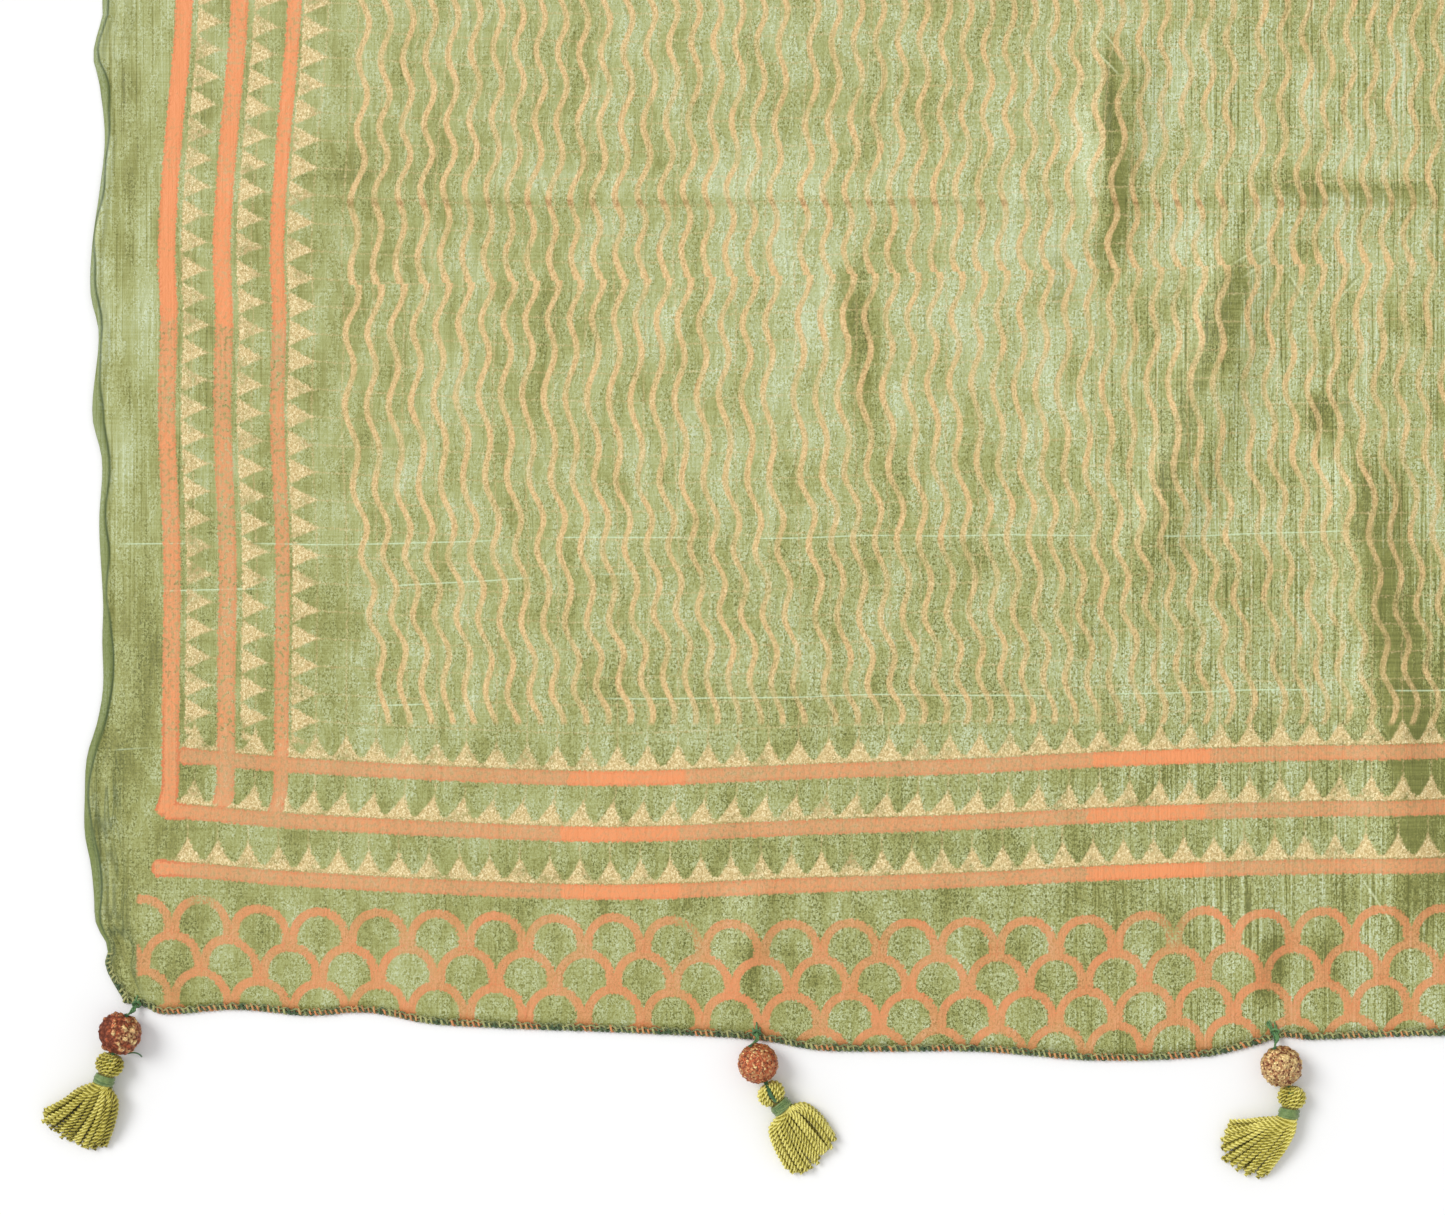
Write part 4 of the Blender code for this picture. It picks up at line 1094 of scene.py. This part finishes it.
def make_bead(name, number, material):
    """A round bead of crushed foil, flaked and pitted, with a mouth at each end of its bore."""
    coarse, depth, grown, gild, brown, gilt_way = BEADS[number - 1]
    gilt_way = Vector(gilt_way).normalized()
    shape = bmesh.new()
    bmesh.ops.create_icosphere(shape, subdivisions=5, radius=1.0)
    seed = Vector((number * 3.1, number * 1.7, number * 2.3))
    dyes = []
    for vertex in shape.verts:
        way = vertex.co.normalized()
        place = way * BEAD_RADIUS / coarse + seed
        near, points = noise.voronoi(place)
        ridge = min((near[1] - near[0]) * 1.6, 1.0)
        flake = noise.cell(points[0] * 9.0)
        rough = noise.noise(way * 5.0 + seed) * 0.25 + noise.noise(way * 17.0 + seed) * 0.12
        bore = math.hypot(way.x, way.z) * BEAD_RADIUS
        mouth = 1.6 * max(0.0, 1 - bore / 1.9) ** 0.7
        radius = BEAD_RADIUS + grown + depth * (ridge * 0.75 + flake * 0.45 - 0.75 + rough) - mouth
        vertex.co = way * radius
        vertex.co.z = max(vertex.co.z, -BEAD_RADIUS)
        facing = way.dot(gilt_way)
        shaded = 0.0
        if number in GILT_ON_ONE_SIDE:
            gilt = gild + 1.7 * max(0.0, facing - 0.45)
            shaded = 0.7 * max(0.0, 0.6 - facing)
        else:
            gilt = gild + 0.25 * facing
        hollow = shaded + max(0.0, 0.75 - ridge * 1.5) + (0.35 if flake < 0.25 else 0.0)
        dyes.append((gilt + (flake - 0.5) * 0.5, hollow * brown))
    made = bpy.data.meshes.new(name)
    shape.to_mesh(made)
    shape.free()
    made.transform(Matrix.Scale(MM, 4))
    columns = np.array(dyes)
    add_attribute(made, "dye", columns[:, 0], columns[:, 1])
    made.materials.append(material)
    made.shade_smooth()
    return made


def make_thread(name, number, material):
    """The sewing thread in the drop's own place: stitches into the cloth, a knot, and the run to the head."""
    across, reach, thread, head_way, neck = DROPS[number - 1]
    dice = random.Random(400 + number)
    pile = Pile()
    anchor = drop_anchor(across)
    bead = outward(thread, reach, BEAD_RADIUS)
    bore = outward(head_way)
    mouth = bead - bore * (BEAD_RADIUS - 0.4)
    leaving = bead + bore * (BEAD_RADIUS - 0.4)
    head = bead + bore * BEAD_TO_HEAD
    head[2] = HEAD_RADIUS
    for k in range(7):
        turn = thread + 180 + dice.uniform(-24, 24)
        far = outward(turn, dice.uniform(3.5, 6.5))
        ground = silk_top(anchor[0] + far[0], anchor[1] + far[1])
        rise = silk_top(anchor[0], anchor[1] + 2.5)
        path = [
            (far[0], far[1], ground - 0.7), (far[0] * 0.9, far[1] * 0.9, ground + 0.25),
            (far[0] * 0.45, far[1] * 0.45 + 0.2, rise + 1.1), (dice.uniform(-0.9, 0.9), 0.4, rise + 2.0),
            tuple(mouth * (1, 1, 0) * 0.6 + (0, 0, (rise + 2.0 + mouth[2]) / 2)), tuple(mouth),
        ]
        pile.tube(bend(path, 18), 0.36, 5, 0.0, dice.uniform(-0.35, 0.3), plies=2, lay=1.8)
    knot = np.array((outward(thread)[0] * -2.6, 2.4, silk_top(anchor[0], anchor[1] + 3) + 0.9))
    for k in range(4):
        start = dice.uniform(0, 6.28)
        tilt = dice.uniform(-0.6, 0.6)
        ring = []
        for step in range(11):
            angle = start + 2 * math.pi * step / 10
            height = math.sin(angle + tilt) * 0.6 + k * 0.15
            ring.append(knot + (math.cos(angle) * 1.25, math.sin(angle) * 0.95, height))
        pile.tube(ring, 0.40, 5, 0.0, dice.uniform(-0.3, 0.3))
    through = bend([mouth - bore * 0.3, bead, leaving, head - bore * 2.6], 12)
    pile.tube(through, 0.8, 6, 0.0, -0.2, plies=2, lay=2.4)
    for k in range(4):
        lean = dice.uniform(-0.5, 0.5)
        over = head + (lean, 0.0, 0.0)
        path = [leaving, over - bore * 3.8 + (0, 0, 1.0), over - bore * 1.6 + (0, 0, HEAD_RADIUS * 0.80)]
        if number == 2:
            path += [over + (0, 0, HEAD_RADIUS + 0.1), over + outward(neck, 3.2, 2.6)]
        pile.tube(bend(path, 14), 0.34, 5, 0.0, dice.uniform(-0.3, 0.2))
    if number == 1:
        pile.tube(bend(LOOSE_TAIL, 20), 0.26, 5, 0.0, -0.1)
    return pile.mesh(name, material)


def put(mesh, place, degrees, end_turn, stands_for):
    """Sets a piece in its end's place, to ride with the body and stand for its solid."""
    piece = add_object(mesh.name if end_turn == 0 else mesh.name.replace("front", "back"), mesh)
    own = Matrix.Translation(Vector(place) * MM) @ Matrix.Rotation(math.radians(degrees), 4, "Z")
    piece.matrix_world = Matrix.Rotation(end_turn, 4, "Z") @ own
    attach(piece, "root")
    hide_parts(stands_for)
    return piece


def make_ends(looks):
    """Both ends' pieces: each mesh is made once, and the back end has it turned half round."""
    made = [("edging_{end}", "edging", make_overlock(looks["edging"]), (0, 0, 0), 0)]
    for number, (across, reach, thread, head_way, neck) in enumerate(DROPS, start=1):
        anchor = drop_anchor(across)
        bead = anchor + outward(thread, reach, BEAD_RADIUS)
        head = anchor + outward(thread, reach, HEAD_RADIUS) + outward(head_way, BEAD_TO_HEAD)
        collar = head + outward(neck, HEAD_HALF_LENGTH + SEAM_GAP + WRAP_LENGTH / 2)
        for kind, slot, make, place, degrees in (
            ("thread", "thread", make_thread, anchor, 0),
            ("bead", "bead", make_bead, bead, head_way),
            ("tassel", "yarn", make_tassel, head, neck),
            ("wrap", "wrap", make_wrap, collar, neck),
        ):
            mesh = make(f"strung_{kind}_front_{number}", number, looks[slot])
            made.append((f"drop_{{end}}_{number}_{kind}", slot, mesh, place, degrees))
    return [
        put(mesh, place, degrees, turn, solid.format(end=end))
        for end, turn in (("front", 0.0), ("back", math.pi))
        for solid, slot, mesh, place, degrees in made
    ]


def make_camera():
    """Straight above the corner that the photograph shows."""
    data = bpy.data.cameras.new("camera")
    data.lens = LENS
    data.sensor_width = SENSOR
    camera = add_object("camera", data)
    camera.location = (*PICTURE_CENTRE, PICTURE_WIDTH * LENS / SENSOR + 0.002)
    bpy.context.scene.camera = camera


def make_stage():
    """A pale floor just under the cloth, an even white sky and a soft window light."""
    bpy.ops.mesh.primitive_plane_add(size=14.0, location=(0, 0, -0.0002))
    floor = bpy.context.object
    floor.name = "floor"
    look = Look("floor", 0.9)
    x, y, _ = look.places()
    grain = look.noise(x * 0.002, y * 0.002, detail=1.0)
    look.give("Base Color", look.ramp(grain, (0.3, 243.4, 243.4, 243.4), (0.7, 247.0, 247.0, 247.0)))
    floor.data.materials.append(look.material)
    world = bpy.data.worlds.new("studio")
    world.use_nodes = True
    sky = world.node_tree.nodes["Background"]
    sky.inputs["Color"].default_value = (1.0, 1.0, 1.0, 1.0)
    sky.inputs["Strength"].default_value = SKY_LIGHT
    bpy.context.scene.world = world
    lamp = bpy.data.lights.new("window", "SUN")
    lamp.energy = WINDOW_LIGHT
    lamp.angle = math.radians(WINDOW_SPREAD)
    add_object("window", lamp).rotation_euler = Vector(WINDOW_FROM).to_track_quat("Z", "Y").to_euler()
    bpy.context.scene.view_settings.view_transform = "Standard"
    return floor


make_camera()
floor = make_stage()
silk = make_silk(silk_look())
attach(silk, "root")
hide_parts("cloth")
looks = {
    "edging": thread_look("edging", (58, 84, 46), (168, 168, 106), 0.6),
    "thread": thread_look("thread", (38, 84, 46), (92, 138, 78), 0.6),
    "wrap": thread_look("wrap", (78, 108, 54), (128, 150, 88), 0.5),
    "bead": bead_look(),
    "yarn": yarn_look(),
}
ends = make_ends(looks)
